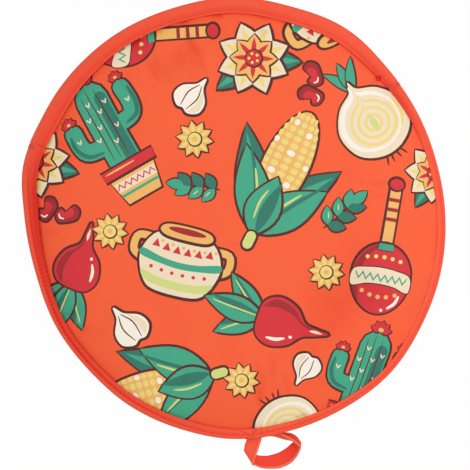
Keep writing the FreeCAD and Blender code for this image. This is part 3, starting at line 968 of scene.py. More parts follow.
def ring_points(spacing):
    """Points on rings, closer together near the tape, where the cloth creases."""
    depths = CLOSE_RINGS + list(np.arange(*WIDE_RINGS, spacing / MM))
    rings = [ring(lambda angles: tape_width(angles) + depth * MM, spacing, row % 2 / 2)
             for row, depth in enumerate(depths)]
    return np.vstack(rings)


# %% Cutting outlines into a net
LONGEST_SIDE, MERGE = 2.5, 0.004  # mm: of an outline's side, and between two points that become one


def dense(outline):
    """The same outline with points added, so that no side is too long to follow the cloth."""
    parts = []
    for a, b in zip(outline, np.roll(outline, -1, 0)):
        count = max(1, math.ceil(np.hypot(*(b - a)) / LONGEST_SIDE))
        parts.append(a + (b - a) * (np.arange(count) / count)[:, None])
    return np.vstack(parts)


def holds(outline, spots):
    """Which spots lie inside an outline, by its winding number."""
    ax, ay = outline.T[:, :, None]
    bx, by = np.roll(outline, -1, 0).T[:, :, None]
    x, y = spots.T
    left = (bx - ax) * (y - ay) - (x - ax) * (by - ay)
    up = (ay <= y) & (by > y) & (left > 0)
    down = (ay > y) & (by <= y) & (left < 0)
    return up.sum(0) != down.sum(0)


def cut_net(border, outlines, loose):
    """Triangles inside a border, with outlines as edges and loose points between them, in mm."""
    spots, edges = [], []
    for outline in [border] + outlines:
        corners = range(len(spots), len(spots) + len(outline))
        edges += list(zip(corners, list(corners)[1:] + [corners[0]]))
        spots += outline.tolist()
    spots += loose.tolist()
    places, _, faces, *_ = delaunay_2d_cdt([Vector(spot) for spot in spots], edges, [], 0, MERGE)
    places, faces = np.array([tuple(place) for place in places]), np.array(faces)
    faces = faces[holds(border, places[faces].mean(1))]
    used, corners = np.unique(faces, return_inverse=True)
    return places[used], corners.reshape(-1, 3)


# %% Borders and inks
def border_of(faces):
    """The corners of the border, in order."""
    sides = {(a, b) for face in faces.tolist() for a, b in zip(face, face[1:] + face[:1])}
    step = {a: b for a, b in sides if (b, a) not in sides}
    border = [min(step)]
    while step[border[-1]] != border[0]:
        border.append(step[border[-1]])
    if len(border) != len(step):
        raise RuntimeError("the border of the net isn't one loop")
    return border


def ink_faces(places, faces, shapes):
    """The ink of each triangle: the topmost shape that holds its middle."""
    middles = places[faces].mean(1)
    paint = np.zeros(len(faces), np.int32)
    for ink, outline in shapes:
        low, high = outline.min(0), outline.max(0)
        near = np.flatnonzero(((middles > low) & (middles < high)).all(1))
        inside = near[holds(outline, middles[near])]
        paint[inside] = list(INK).index(ink)
    return paint


# %% A cover: a printed face, and a plain back on the same border
NORMAL_STEP = 0.4 * MM  # how far off the slope is felt
EDGE_STEP, BACK_STEP = 2 * MM, 6 * MM  # between the points of a cover's border, and of its back


def cover_face(height, places, lifted):
    points = np.column_stack([places, height(*places.T)])
    return lift(points) if lifted else points


def cover_normals(height, places, lifted):
    """Which way the smooth surface faces, whatever the triangles on it look like."""
    slopes = [cover_face(height, places + way, lifted) - cover_face(height, places - way, lifted)
              for way in np.eye(2) * NORMAL_STEP]
    normals = np.cross(*slopes)
    return normals / np.linalg.norm(normals, axis=1)[:, None]


# %% Put a cover together
def printed_cover(name, shapes, height, spacing, top):
    """The top cover is lifted with the flap, and the bottom one looks down."""
    edge = ring(lambda angles: PLY_END, EDGE_STEP) / MM
    places, faces = cut_net(edge, [dense(outline) for _, outline in shapes], ring_points(spacing) / MM)
    paint = ink_faces(places, faces, shapes)
    border = border_of(faces)
    back_places, back_faces = cut_net(places[border], [], ring_points(BACK_STEP) / MM)
    gaps = np.linalg.norm(back_places[:, None] - places[border], axis=2)
    back_border = len(places) + gaps.argmin(0)
    side = 1 if top else -1
    places, back_places = places * MM, back_places * MM

    def back_height(x, y):
        return height(x, y) - side * COVER_THICK * MM

    points = np.vstack([cover_face(height, places, top), cover_face(back_height, back_places, top)])
    normals = np.vstack([side * cover_normals(height, places, top),
                         -side * cover_normals(back_height, back_places, top)])
    back_faces = back_faces[:, ::-1] + len(places)
    strip = [[border[i - 1], int(back_border[i - 1]), int(back_border[i]), border[i]]
             for i in range(len(border))]
    all_faces = faces.tolist() + back_faces.tolist() + strip
    if not top:
        all_faces = [face[::-1] for face in all_faces]
    paint = np.concatenate([paint, np.full(len(back_faces) + len(strip), len(inks), np.int32)])
    flat = np.vstack([places, back_places])
    return add_piece(name, points, all_faces, [*inks.values(), cloth_back], flat, paint, normals,
                     cover_painted_shade(*flat.T))


def cover_painted_shade(x, y):
    """Painted shade on the cover: darkest where it goes under the tape, in its folds and in a pinch."""
    angle, inside = polar(x, y)
    from_tape = np.clip(inside - tape_width(angle), 0, None)
    deep = 0.75 * np.exp(-from_tape / (1.2 * MM)) + 0.25 * np.exp(-from_tape / (5 * MM))
    valleys = np.clip(-1.3 * folds(x, y) / MM - 0.1, 0, 1)
    return around(angle, TUCKS_AND_SHADE) * deep + valleys + 0.9 * np.clip(pinches(angle, from_tape) - 0.1, 0, 1)


# %% The printed covers
COVERS = [("top", TOP_PRINT, top_height, 2.6 * MM), ("bottom", BOTTOM_PRINT, bottom_height, 5 * MM)]
for panel, layout, height, spacing in COVERS:
    cover = printed_cover(f"{panel}_cover_cloth", print_of(layout), height, spacing, panel == "top")
    join_panel(cover, panel, "cover")

# %% [markdown]
# ## The layers inside
#
# The batting is a fluffy pad, the film is a plain disc, and the lining is what the
# tortillas lie on. They show only when the mouth is open, yet they carry the cover. A disc
# with a Solidify modifier would be as thick in the seam as in the middle, but a seam squeezes
# batting flat. So each layer is a shell between two depths under its panel's outside.

# %% Batting, film and lining
FILM_EDGE = 32 * MM
INNER = [
    ("batting", "pad", PLY_END, batting_fluff, "batting"),
    ("film", "sheet", FILM_EDGE, film_skin, "moisture_film"),
    ("lining", "cloth", PLY_END, lining_cloth, "lining_cloth"),
]
for panel in ("top", "bottom"):
    for layer, form, edge, material, slot in INNER:
        piece = fit_layer(f"{panel}_{layer}_{form}", panel, layer, edge, material)
        join_panel(piece, panel, layer)


# %% [markdown]
# ## The binding
#
# A binding is tape folded round a raw edge and sewn through. Where the line of stitches
# pulls it down it has a groove, with a soft ridge on each side. At the mouth each lip has its
# own tape, which is puffier because nothing squeezes it. A curve with a bevel would carry
# the same section all the way round, while this tape is by turns wide and narrow, flat and
# puffy. So one sweep makes them all: a closed section, worked out afresh at every angle, is
# carried round the rim.


# %% The swell of the tape
# (share of the tape's width from the rim inwards, height over the cover in mm)
RIM_SWELL = [(0.14, 0.9), (0.24, 1.5), (0.33, 1.6), (0.41, 1.25), (0.47, 0.8), (0.53, 1.15), (0.6, 1.5),
             (0.74, 1.5), (0.88, 1.2), (0.97, 0.8), (1.0, 0.1)]
LIP_SWELL = [(0.14, 1.0), (0.26, 1.8), (0.4, 2.1), (0.56, 1.9), (0.72, 1.4), (0.84, 0.85), (0.91, 1.1),
             (0.96, 0.95), (1.0, 0.1)]
RIM_SWELL, LIP_SWELL = smooth_curve(RIM_SWELL, 120), smooth_curve(LIP_SWELL, 120)
GROOVE = 0.47  # the place of the seam's groove in RIM_SWELL
# 0 where the tape has a lip's swell, 1 where it has the rim's
SEWN = [
    (6, 0.8), (20, 0.25), (32, 0.0), (90, 0.0), (148, 0.0), (162, 0.5), (178, 1.0), (260, 1.0),
    (335, 1.0),
]
# the share of the rim's swell that shows
RELIEF = [(0, 0.55), (25, 0.8), (60, 1.0), (150, 1.0), (265, 1.0), (290, 0.7), (330, 0.5)]
# where the seam runs, as a share of the tape's width
SEAM_PLACE = [
    (0, 0.42), (150, 0.42), (168, 0.4), (185, 0.47), (215, 0.5), (235, 0.52), (255, 0.4), (290, 0.5),
    (330, 0.42),
]
STITCH = 3.1 * MM  # from one needle hole to the next


def sewn(angle):
    """0 along the mouth, 1 where the seam pulls the tape down."""
    return np.clip(around(angle, SEWN), 0, 1)


def swell(angle, share):
    """Height of the tape over the cover."""
    place = around(angle, SEAM_PLACE)
    shifted = np.where(share < place, share / place * GROOVE,
                       1 - (1 - share) / (1 - place) * (1 - GROOVE))
    lip, rim = np.interp(share, *LIP_SWELL.T), np.interp(shifted, *RIM_SWELL.T) * around(angle, RELIEF)
    return (lip + (rim - lip) * sewn(angle)) * MM


# %% The tape's small unevenness
JOIN = 262.8  # the angle where the rim tape's two ends overlap
GATHER, SLOW, END_FOLD = 5.5 * MM, 23 * MM, 7.5 * MM  # lengths of the tape's uneven places


def needle_holes(angle):
    """1 at each needle hole, 0 between them."""
    return (0.5 + 0.5 * np.cos(2 * math.pi * np.radians(angle) * MEAN_RADIUS / STITCH)) ** 2


def wobble(angle, share):
    """Small gathers at the inner edge, slow swells along the tape, and folds where its ends overlap."""
    along = math.radians(angle) * MEAN_RADIUS
    gather = noise.noise(Vector((along / GATHER, 0.0, 4.5))) * share ** 2
    slow = noise.noise(Vector((along / SLOW, 0.0, 6.5)))
    ends = 0.9 * bell(angle - JOIN - 1, 4.5) * np.sin(2 * math.pi * (along / END_FOLD + 1.1 * share))
    return (0.5 * gather * around(angle, PUCKERS) + 0.25 * slow + 2 * ends * share * (1 - share)) * MM


# %% Sections of the tape, as (inside, height)
ROLL = 2.0 * MM  # how deep the rounding at the rim is
UNDER_WIDTH = 10.2 * MM  # of the tape on the underside
GAP = 0.1 * MM  # between the tape's inside and the cloth
TUCKED = 0.3 * MM, 0.4 * MM  # how far inside its edge the tape's inner face ends, below and above
TOP_STEPS, ROLL_STEPS, UNDER_STEPS = 36, 9, 7


def half_roll(low, high, deep, out=0.0):
    """Points from high to low round an edge that is deep."""
    turn = np.radians(np.linspace(90, -90, ROLL_STEPS))
    middle, half = (high + low) / 2, (high - low) / 2
    return np.column_stack([deep - (deep + out) * np.cos(turn), middle + half * np.sin(turn)])[1:-1]


def over_top(angle, extra=0.0):
    """The tape's upper face from its inner edge out to the roll."""
    width = tape_width(angle)
    share = np.linspace(1.0, ROLL / width, TOP_STEPS)
    from_seam = (share - around(angle, SEAM_PLACE)) * width
    dent = 0.5 * MM * sewn(angle) * bell(from_seam, 0.7 * MM) * needle_holes(angle)
    height = crown(share * width) + swell(angle, share) + wobble(angle, share) - dent
    return np.column_stack([share * width, height + extra])


def rim_section(angle, extra=0.0):
    """Both panels' edges in one tape."""
    top = over_top(angle, extra)
    under_in = np.linspace(ROLL, UNDER_WIDTH, UNDER_STEPS)
    thinner = np.clip(4 * (1 - under_in / UNDER_WIDTH) + 0.2, 0, 1)
    under = np.column_stack([under_in, keel(under_in) - TAPE * thinner - extra / 2])
    roll = half_roll(under[0, 1], top[-1, 1], top[-1, 0], extra / 2)
    back_in = np.linspace(UNDER_WIDTH - TUCKED[0], TAPE, UNDER_STEPS)
    back = np.column_stack([back_in, keel(back_in) - GAP])
    front_in = np.linspace(TAPE, tape_width(angle) - TUCKED[1], UNDER_STEPS)
    front = np.column_stack([front_in, crown(front_in) + GAP])
    return np.vstack([top, roll, under, back, front])


# %% Sections of the lips
LIP_LEG = 0.5 * MM  # the lip's tape on the pocket side


def pocket_side(side, inside):
    """Height of the lining in the top or the bottom panel."""
    depth = layer_depths("lining", inside)[1] + GAP
    return crown(inside) - depth if side == "top" else keel(inside) + depth


def lower_swell(share):
    """The lower lip is the flatter one, because it lies on the table."""
    return 0.75 * swell(90, share)


def lip_section(angle, side):
    """One panel's edge in its own tape."""
    way = -1 if side == "top" else 1
    inner = np.linspace(ROLL, UNDER_WIDTH, UNDER_STEPS)
    inside = np.column_stack([inner, pocket_side(side, inner) + way * LIP_LEG])
    back_in = np.linspace(UNDER_WIDTH - TUCKED[0], TAPE, UNDER_STEPS)
    back = np.column_stack([back_in, pocket_side(side, np.maximum(back_in, ROLL))])
    if side == "top":
        outside = over_top(angle)
    else:
        share = np.linspace(1.0, ROLL / UNDER_WIDTH, TOP_STEPS)
        outside = np.column_stack([share * UNDER_WIDTH, keel(share * UNDER_WIDTH) - lower_swell(share)])
    front_in = np.linspace(TAPE, outside[0, 0] - TUCKED[1], UNDER_STEPS)
    cover = crown(front_in) + GAP if side == "top" else keel(front_in) - GAP
    roll = half_roll(*sorted([outside[-1, 1], inside[0, 1]]), outside[-1, 0])
    if side == "bottom":
        roll = roll[::-1]
    section = np.vstack([outside, roll, inside, back, np.column_stack([front_in, cover])])
    return section if side == "top" else section[::-1]


# %% Where shade is painted on the tape
# along its seam
SEAM_SHADE = [
    (0, 0.12), (30, 0.1), (90, 0.0), (145, 0.1), (165, 0.45), (185, 0.7), (203, 0.95), (220, 0.65),
    (240, 0.4), (258, 0.15), (290, 0.15), (330, 0.08),
]
# in the fold towards its inner edge
FOLD_SHADE = [
    (8, 0.15), (25, 0.75), (50, 0.45), (70, 0.55), (100, 0.55), (130, 0.65), (150, 0.7), (168, 1.1),
    (190, 0.9), (205, 0.7), (225, 0.5), (245, 0.35), (270, 0.1), (310, 0.0), (345, 0.0),
]
# in each needle hole
HOLE_SHADE = [(0, 0.15), (90, 0.1), (160, 0.2), (188, 0.7), (210, 0.35), (260, 0.2)]
# but less in the mouth tape's pressed fold
PALE_LIP = [(20, 0.2), (45, 0.9), (90, 0.9), (140, 0.9), (165, 0.1), (260, 0.0)]
ROLL_SHADE = 0.4  # where the tape turns under


def tape_painted_shade(angles, inside):
    """How much shade is painted on each point of a tape, from 0 to about 1."""
    angles = angles[:, None]
    width = tape_width(angles)
    share = inside / width
    holes = around(angles, HOLE_SHADE)
    from_seam = (share - around(angles, SEAM_PLACE)) * width
    seam = bell(from_seam, 1.3 * MM) * (1 - holes + holes * needle_holes(angles))
    pale = around(angles, PALE_LIP) * bell(share - 0.94, 0.07)
    fold = ease(np.clip((share - 0.2) / 0.7, 0, 1)) * (1 - pale)
    edge = 0.6 * around(angles, TUCKS_AND_SHADE) * bell(share - 1, 0.02) + ROLL_SHADE * bell(inside, 1.1 * MM)
    return around(angles, SEAM_SHADE) * seam + around(angles, FOLD_SHADE) * fold + edge


# %% Carrying a section round the rim
def sweep(name, angles, sections, lifted=False, lean=None):
    """A tape through sections. lean is how far each section's inner edge is turned, in degrees."""
    sections = np.array(sections)
    rows, columns = sections.shape[:2]
    inside, height = sections[:, :, 0], sections[:, :, 1]
    turned = angles[:, None] + np.zeros(columns)
    if lean is not None:
        turned = turned + lean[:, None] * inside / tape_width(angles)[:, None]
    points = on_rim(turned, inside, height).reshape(-1, 3)
    if lifted:
        points = lift(points)
    steps = np.hypot(*np.diff(sections, axis=1).transpose(2, 0, 1)).mean(0)
    across = np.concatenate([[0], np.cumsum(steps)])
    along = np.radians(angles) * MEAN_RADIUS
    flat = np.stack(np.meshgrid(across, along), axis=2).reshape(-1, 2)
    piece = add_piece(name, points, tube(rows, columns), [tape_cloth], flat,
                      painted_shade=tape_painted_shade(angles, inside).ravel())
    return piece


def arc(first, last):
    """Angles of the sections, four to a degree."""
    return np.linspace(first, last, int(abs(last - first) * 4) + 1)


# %% The rim's tape, which starts and ends where the loop is sewn on
JOIN_LEAN = 3.5  # the upper end is cut on a slant, this many degrees further on at its inner edge
JOIN_LIFT = 1.1 * MM
LIFT_FADE, LEAN_FADE = 12, 8  # degrees over which the two die away
JOIN_OVERLAP, PAST_MOUTH = 5, 0.2  # degrees that the tape goes on under its other end, and at the mouth

left_angles = arc(MOUTH[1] - PAST_MOUTH, JOIN + JOIN_OVERLAP)
left_tape = sweep("rim_tape_left", left_angles, [rim_section(angle) for angle in left_angles])
right_angles = arc(JOIN, 360 + MOUTH[0] + PAST_MOUTH)
past_join = right_angles - JOIN
fades = [1 - ease(np.clip(past_join / reach, 0, 1)) for reach in (LIFT_FADE, LEAN_FADE)]
overlap = JOIN_LIFT * fades[0] * np.clip(0.5 + past_join / 0.8, 0, 1)
right_sections = [rim_section(angle, extra) for angle, extra in zip(right_angles, overlap)]
right_tape = sweep("rim_tape_right", right_angles, right_sections, lean=JOIN_LEAN * fades[1])
for tape in (left_tape, right_tape):
    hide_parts("rim_binding")
    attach(tape, "pouch")

# %% The two lips
lip_angles = arc(*MOUTH)
upper_lip = sweep("upper_lip_tape", lip_angles, [lip_section(angle, "top") for angle in lip_angles],
                  lifted=True)
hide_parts("upper_mouth_binding")
bend_with_flap(upper_lip)
lower_lip = sweep("lower_lip_tape", lip_angles, [lip_section(angle, "bottom") for angle in lip_angles])
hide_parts("lower_mouth_binding")
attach(lower_lip, "pouch")


# %% [markdown]
# ## The hanging loop
#
# The loop is the same tape folded lengthwise and sewn along its open edge, the hem. It isn't
# flat: the left end lies over a fold, the far side leans outwards, and the right end stands on
# its edge, where its two leaves part. A simulated strip would come to rest in some pose of
# its own, but this one is given. So it is drawn by its three edges: the hem, and the other
# edge of its front and of its back leaf. Where the two are one line, the tape is shut.

# %% The loop's edges in mm: hem, front leaf, back leaf (None: same as front), painted shade of each leaf
LOOP = [
    ((-7.6, -144.8, 1.9), (-16.2, -144.8, 1.9), None, 0.2, 0.2),
    ((-7.7, -151.0, 2.3), (-16.9, -150.6, 2.3), None, 0.2, 0.2),
    ((-8.2, -157.8, 3.0), (-18.4, -156.2, 3.0), None, 0.15, 0.2),
    ((-11.0, -163.7, 3.6), (-20.6, -159.9, 3.4), None, 0.05, 0.3),
    ((-13.9, -168.8, 3.9), (-21.6, -162.4, 3.7), None, 0.05, 0.3),
    ((-16.2, -173.6, 3.8), (-21.9, -163.4, 3.7), None, 0.05, 0.3),
    ((-17.3, -176.0, 3.1), (-22.1, -164.2, 3.1), None, 0.1, 0.3),  # the fold
    ((-16.4, -176.6, 2.3), (-21.0, -164.9, 2.4), None, 0.3, 0.3),
    ((-14.6, -177.8, 2.3), (-17.6, -166.9, 2.2), None, 0.3, 0.3),
    ((-12.1, -179.2, 2.6), (-14.0, -169.4, 2.0), None, 0.3, 0.15),
    ((-6.1, -180.6, 3.4), (-7.2, -171.3, 1.6), None, 0.3, 0.1),
    ((1.0, -181.1, 4.2), (1.1, -170.7, 1.5), None, 0.3, 0.05),
    ((8.5, -179.0, 5.2), (7.6, -168.4, 1.4), None, 0.3, 0.1),
    ((13.8, -174.8, 6.6), (12.2, -165.8, 1.2), None, 0.4, 0.15),
    ((17.3, -169.4, 7.6), (16.3, -167.4, 1.2), (14.2, -164.5, 1.0), 0.6, 0.15),
    ((17.2, -167.6, 7.9), (18.5, -167.0, 1.3), (14.2, -164.4, 1.0), 0.6, 0.1),
    ((15.3, -165.2, 8.1), (17.7, -164.1, 1.5), (13.3, -163.9, 1.1), 0.6, 0.1),
    ((13.2, -162.8, 8.0), (15.6, -160.7, 1.6), (11.6, -163.3, 1.2), 0.65, 0.1),
    ((10.1, -160.2, 7.2), (12.0, -158.3, 1.8), (8.2, -162.1, 1.6), 0.75, 0.1),
    ((6.5, -157.7, 5.6), (7.0, -157.0, 2.0), (4.9, -160.6, 2.0), 0.7, 0.1),
    ((2.9, -154.6, 2.9), (1.4, -156.0, 2.1), (0.1, -158.5, 2.4), 0.3, 0.15),
    ((0.8, -151.8, 2.4), (-4.4, -156.6, 2.3), (-4.6, -157.0, 2.6), 0.2, 0.2),
    ((1.6, -149.2, 2.1), (-6.2, -152.6, 2.2), None, 0.2, 0.2),
    ((2.6, -146.8, 1.9), (-6.0, -148.4, 2.0), None, 0.2, 0.2),
    ((2.8, -144.8, 1.9), (-5.8, -144.8, 1.9), None, 0.2, 0.2),
]

# %% How tape folds
LOOP_THICK = 1.1 * MM
LOOP_WIDTH = 9 * MM
HEM = 0.2  # share of the tape's width
# a leaf's section: share of its width from the hem, and half its thickness as a share of LOOP_THICK
LEAF = np.array([(0, 0.15), (0.03, 0.5), (0.08, 0.66), (0.15, 0.6), (HEM, 0.34), (0.26, 0.5), (0.45, 0.5),
                 (0.7, 0.5), (0.92, 0.5), (0.98, 0.34), (1, 0.12)])
ROWS_BETWEEN = 7


def unit(rows):
    return rows / np.linalg.norm(rows, axis=-1, keepdims=True)


def leaf_point(hem, edge, ahead, share, half, way):
    """A point on a leaf's outside; way is 1 on the front and -1 on the back."""
    across = edge - hem
    return hem + across * share + unit(np.cross(across, ahead)) * half * way


def lengths(line):
    """How far along a line of points each of them is."""
    return np.concatenate([[0], np.cumsum(np.linalg.norm(np.diff(line, axis=0), axis=1))])


def folded_tape(name, table, twist, materials):
    """The tape, and its two seams beside the hem as lines of points. Up to the twist, where its back shows,
    the back leaf wears a deeper red copy of the tape as painted shade and bounced light.
    """
    rows = [(*hem, *front, *(back or front), *shades) for hem, front, back, *shades in table]
    line = smooth_curve(rows, (len(rows) - 1) * ROWS_BETWEEN + 1)
    hem, front, back = (line[:, i:i + 3] * MM for i in (0, 3, 6))
    ahead = unit(np.gradient((hem + front) / 2, axis=0))
    columns, painted_shade, across, seams = [], [], [], []
    for edge, way, shade in ((front, 1, line[:, 9]), (back, -1, line[:, 10])):
        for share, half in LEAF[::way]:
            columns.append(leaf_point(hem, edge, ahead, share, half * LOOP_THICK, way))
            # painted shade along the hem's fold and along the leaf's far edge
            folded = 0.35 * bell(share - HEM, 0.03) + 0.5 * bell(share - 1, 0.04)
            painted_shade.append(shade * (share >= HEM) + folded)
            across.append(share if way == 1 else 2 - share)
        seams.append(leaf_point(hem, edge, ahead, HEM, 0.4 * LOOP_THICK, way))
    points, painted_shade = np.stack(columns, axis=1), np.stack(painted_shade, axis=1)
    rows, columns = points.shape[:2]
    across = np.array(across)
    in_hem = np.minimum(across, 2 - across) < HEM + 0.01
    plain = np.where((across >= 1) & (np.arange(rows - 1)[:, None] < twist * ROWS_BETWEEN), 2, 0)
    paint = np.where(in_hem & np.roll(in_hem, -1), 1, plain)
    travelled = lengths((hem + front) / 2)
    flat = np.stack(np.meshgrid(across * LOOP_WIDTH, travelled), axis=2).reshape(-1, 2)
    print(f"{name}: {travelled[-1] / MM:.0f} mm of tape")
    piece = add_piece(name, points.reshape(-1, 3), tube(rows, columns), materials, flat,
                      [*paint.ravel().tolist(), 0, 0], painted_shade=painted_shade.ravel())
    return piece, seams


def swing_with_loop(piece):
    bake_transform(piece)


LOOP_TWIST = 16  # the row of the table where the loop has turned to its outside again
loop_cloths = [tape_cloth, tape_hem, tape_inside_painted_shade]
loop_tape, loop_seams = folded_tape("hanging_loop_tape", LOOP, LOOP_TWIST, loop_cloths)
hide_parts("hanging_loop", "loop_ends")
swing_with_loop(loop_tape)


# %% [markdown]
# ## Stitches
#
# The thread matches the tape, so stitches show as small dents with a glint. They could be
# painted on, but only a round thread goes on catching the light as the view turns. Each is a
# little spindle of thread laid along the seam, with its ends sunk into the cloth. A
# lockstitch shows on both sides of its seam, so every seam below has two rows of them.


# %% Threads
def threads(name, lines, radius, shade=0.0):
    """One mesh of threads, each along its own line of points and thin at its two ends."""
    sides = 6
    spin = np.linspace(0, 2 * math.pi, sides, endpoint=False)[:, None]
    points, faces = [], []
    for line in lines:
        faces += tube(len(line), sides, start=sides * len(points), turned=True)
        ways = unit(np.gradient(np.asarray(line), axis=0))
        side = np.cross(ways[0], (0.31, 0.17, 1.0))  # any direction but the thread's own
        for ring, (middle, way) in enumerate(zip(line, ways)):
            side = unit(side - way * (side @ way))
            up = np.cross(side, way)
            thick = radius * (0.4 if ring in (0, len(line) - 1) else 1.0)
            points.append(middle + thick * (side * np.cos(spin) + up * np.sin(spin)))
    points = np.vstack(points)
    piece = add_piece(name, points, faces, [thread_twist], painted_shade=np.full(len(points), shade))
    return piece


THREAD, TACK_THREAD, BAR_THREAD = 0.24 * MM, 0.3 * MM, 0.26 * MM  # radii
# along a stitch as a share of STITCH, and into the cloth in mm
DIP = ((-0.38, 0.25), (-0.28, 0.04), (0.0, 0.0), (0.28, 0.04), (0.38, 0.25))


# %% The stitches of one seam
def seam(first, last, inside_of, height_of, out):
    """Stitches between needle holes, on a face that looks up (out is 1) or down (-1)."""
    step = math.degrees(STITCH / MEAN_RADIUS)
    angles = (np.arange(math.ceil(first / step), math.floor(last / step)) + 0.5) * step
    lines = []
    for share, dip in DIP:
        turned = angles + share * step
        inside = inside_of(turned)
        lines.append(on_rim(turned, inside, height_of(turned, inside) - out * (THREAD + dip * MM)))
    return np.stack(lines, axis=1)


# %% The seams of the rim and of the lips
def tape_top(angle, inside):
    """Height of the tape's upper face."""
    share = inside / tape_width(angle)
    return crown(inside) + swell(angle, share) + np.array([wobble(*pair) for pair in zip(angle, share)])


def fixed(inside):
    """The same distance inside the rim at every angle."""
    return lambda angle: np.full(len(angle), inside)


RIM_SPAN, LIP_SPAN = (MOUTH[1] + 1, 360 + MOUTH[0] - 1), (MOUTH[0] + 1, MOUTH[1] - 1)
BELOW, POCKET, LOWER = 0.46 * UNDER_WIDTH, UNDER_WIDTH - 1.4 * MM, 0.86  # where the hidden seams run
SEAMS = [  # name, angles, distance inside the rim, height, and which way the face looks
    ("rim_stitches", RIM_SPAN, lambda angle: around(angle, SEAM_PLACE) * tape_width(angle), tape_top, 1),
    ("rim_stitches_below", RIM_SPAN, fixed(BELOW), lambda _, inside: keel(inside) - TAPE, -1),
    ("upper_lip_stitches", LIP_SPAN, tape_width, tape_top, 1),  # in the ditch beside the tape
    ("upper_lip_stitches_inside", LIP_SPAN, fixed(POCKET),
     lambda _, inside: pocket_side("top", inside) - LIP_LEG, -1),
    ("lower_lip_stitches_inside", LIP_SPAN, fixed(POCKET),
     lambda _, inside: pocket_side("bottom", inside) + LIP_LEG, 1),
    ("lower_lip_stitches", LIP_SPAN, fixed(LOWER * UNDER_WIDTH),
     lambda _, inside: keel(inside) - lower_swell(LOWER), -1),
]
for name, span, inside_of, height_of, out in SEAMS:
    lines = seam(*span, inside_of, height_of, out)
    if name.startswith("upper"):
        bend_with_flap(threads(name, lift(lines.reshape(-1, 3)).reshape(lines.shape), THREAD))
    else:
        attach(threads(name, lines, THREAD), "pouch")

# %% The loop's seam, on both faces
HEM_START, HEM_STOP = 12 * MM, 10 * MM  # the rest is inside the binding
hem_lines = []
for line in loop_seams:
    travelled = lengths(line)
    for start in np.arange(HEM_START, travelled[-1] - HEM_STOP, STITCH):
        at = start + (np.array([share for share, _ in DIP]) + 0.5) * STITCH
        hem_lines.append(np.column_stack([np.interp(at, travelled, axis) for axis in line.T]))
hem_stitches = threads("loop_stitches", hem_lines, 0.8 * THREAD)
swing_with_loop(hem_stitches)


# %% [markdown]
# ## Thread bars
#
# A hand that goes into the mouth pulls at its two ends, so a few threads side by side hold
# the tape there. Two more bars hold the ends of the loop. They could be curves with a bevel,
# but the helper for stitches makes a closed thread along any line, so it serves here too.

# %% Over the rim, at the mouth's two ends
TACK_SETBACK = 0.94  # degrees from the mouth's end to the bar's middle
TACK_LENGTH, TACK_PITCH, TACK_THREADS = 6 * MM, 0.42 * MM, range(-3, 4)


def mouth_tack(name, middle):
    """Threads side by side, each over the tape and round its edge."""
    lines = []
    for turn in TACK_THREADS:
        angle = middle + math.degrees(turn * TACK_PITCH / MEAN_RADIUS)
        outside = rim_section(angle)[:TOP_STEPS + ROLL_STEPS - 2 + UNDER_STEPS]
        lines.append(on_rim(angle, *outside[outside[:, 0] <= TACK_LENGTH].T))
    return threads(name, lines, TACK_THREAD)


for side, middle in (("right", 360 + MOUTH[0] - TACK_SETBACK), ("left", MOUTH[1] + TACK_SETBACK)):
    tack = mouth_tack(f"{side}_mouth_tack_thread", middle)
    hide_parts(f"{side}_mouth_tack")
    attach(tack, "pouch")

# %% Under the loop's two ends
# one thread of a bar in mm, as (shift to the right, y, z), and where the bars' threads lie
BAR = np.array([(0, -147.2, 1.35), (0, -147.5, 1.2), (0.1, -148.2, 1.2), (0.2, -148.9, 1.3),
                (0.2, -149.2, 1.5)])
BAR_MIDDLES, BAR_REACH, BAR_PITCH = (-11.9, -1.5), (-3.2, 3.3), 0.45
bar_lines = [(BAR + (x, 0, 0)) * MM for middle in BAR_MIDDLES
             for x in np.arange(middle + BAR_REACH[0], middle + BAR_REACH[1], BAR_PITCH)]
loop_tacks = threads("loop_tack_thread", bar_lines, BAR_THREAD)
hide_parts("loop_bar_tacks")
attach(loop_tacks, "pouch")

# %% A thread's end, curled up beside the mouth's right end
CURL, CURL_RADIUS, CURL_THREAD = (116.1, 77.9), 1.5, 0.32 * MM
turns = np.radians(np.arange(-40, 330, 22))
x, y = ((at + CURL_RADIUS * side) * MM for at, side in zip(CURL, (np.cos(turns), np.sin(turns))))
climb = (0.5 + 0.5 * np.sin(turns / 2)) * MM
angle, inside = polar(x, y)
curl_line = lift(np.column_stack([x, y, np.maximum(top_height(x, y), tape_top(angle, inside)) + climb]))
bend_with_flap(threads("mouth_thread_end", [curl_line], CURL_THREAD, shade=1.0))

# %% [markdown]
# ## The stage
#
# A product picture is taken from straight above in soft, even light, on white. The camera
# looks down through a long lens and is rolled a little, and the white comes from what the
# camera sees of the floor, not from more light on the cloth.

# %% Camera
camera = bpy.data.objects.new("camera", bpy.data.cameras.new("camera"))
bpy.context.scene.collection.objects.link(camera)
bpy.context.scene.camera = camera
LENS, SENSOR, VIEW_WIDTH = 85, 36, 332 * MM  # lens and sensor in mm, and the width seen at the rim
VIEW_MIDDLE, VIEW_ROLL = (-1.9 * MM, -12.6 * MM), math.radians(-10)
camera.data.lens, camera.data.sensor_width = LENS, SENSOR
camera.location = (*VIEW_MIDDLE, SEAM + VIEW_WIDTH * LENS / SENSOR)
camera.rotation_euler = (0, 0, VIEW_ROLL)
camera.data.clip_start, camera.data.clip_end = 0.01, 20
print(f"camera: {camera.location.z:.3f} m up, {LENS} mm lens")


# %% Floor
FLOOR_WHITE = 0.97  # the rest of what the camera sees is lit floor, with the shadow on it


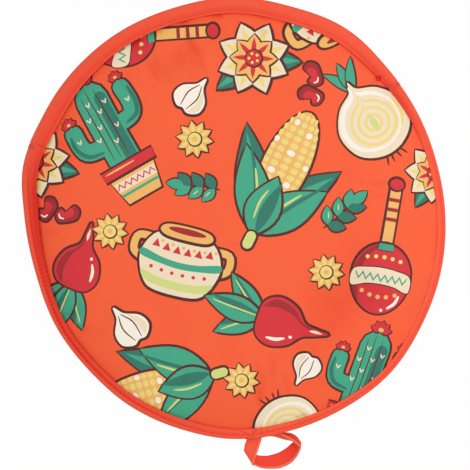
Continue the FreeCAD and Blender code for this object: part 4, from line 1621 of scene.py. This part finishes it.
def white_floor():
    """White as the camera sees it, with a faint shadow kept."""
    tree = Tree("floor")
    path = tree.node("ShaderNodeLightPath").outputs
    mirrored = tree.maths("MAXIMUM", path["Is Glossy Ray"], path["Is Transmission Ray"])
    seen = tree.maths("MAXIMUM", path["Is Camera Ray"], mirrored)
    tree.surface(Base_Color=(0.8, 0.8, 0.8, 1), Roughness=1.0, Specular_IOR_Level=0.0)
    blend = tree.node("ShaderNodeMixShader")
    glow = tree.node("ShaderNodeEmission").outputs[0]
    share = tree.maths("MULTIPLY", seen, FLOOR_WHITE)
    for socket, value in zip(blend.inputs, (share, tree.shader.outputs[0], glow)):
        tree.put(socket, value)
    tree.put(tree.nodes["Material Output"].inputs[0], blend.outputs[0])
    return tree.material


FLOOR = 1.5  # half its width in metres
floor_mesh = bpy.data.meshes.new("floor")
floor_mesh.from_pydata([(-FLOOR, -FLOOR, 0), (FLOOR, -FLOOR, 0), (FLOOR, FLOOR, 0), (-FLOOR, FLOOR, 0)],
                       [], [(0, 1, 2, 3)])
floor_mesh.materials.append(white_floor())
floor = bpy.data.objects.new("floor", floor_mesh)
floor.location.z = -0.2 * MM
bpy.context.scene.collection.objects.link(floor)


# %% Lights
def softbox(name, place, size, power):
    """A round lamp that looks at the pouch: its place and width in metres, its power in watts."""
    light = bpy.data.lights.new(name, "AREA")
    light.shape, light.size, light.energy = "DISK", size, power
    lamp = bpy.data.objects.new(name, light)
    lamp.location = place
    lamp.rotation_euler = (-Vector(place)).to_track_quat("-Z", "Y").to_euler()
    bpy.context.scene.collection.objects.link(lamp)
    print(f"{name} light: {power} W from {Vector(place).length:.2f} m")


softbox("key", (0.6, 0.05, 1.15), 0.8, 7.9)
softbox("fill", (-0.6, 0.0, 1.2), 0.9, 2.7)

# %% The world
AMBIENT = 0.48  # strength of the world's light; the camera sees it at 1, which is white
world = bpy.data.worlds.new("studio")
bpy.context.scene.world = world
world.use_nodes = True
sky = world.node_tree
path, shown = (sky.nodes.new(f"ShaderNode{kind}") for kind in ("LightPath", "Mix"))
shown.data_type = "FLOAT"
sky.links.new(path.outputs["Is Camera Ray"], shown.inputs[0])
shown.inputs[2].default_value, shown.inputs[3].default_value = AMBIENT, 1.0
sky.links.new(shown.outputs[0], sky.nodes["Background"].inputs["Strength"])
sky.nodes["Background"].inputs["Color"].default_value = (1, 1, 1, 1)
bpy.context.scene.view_settings.view_transform = "Standard"
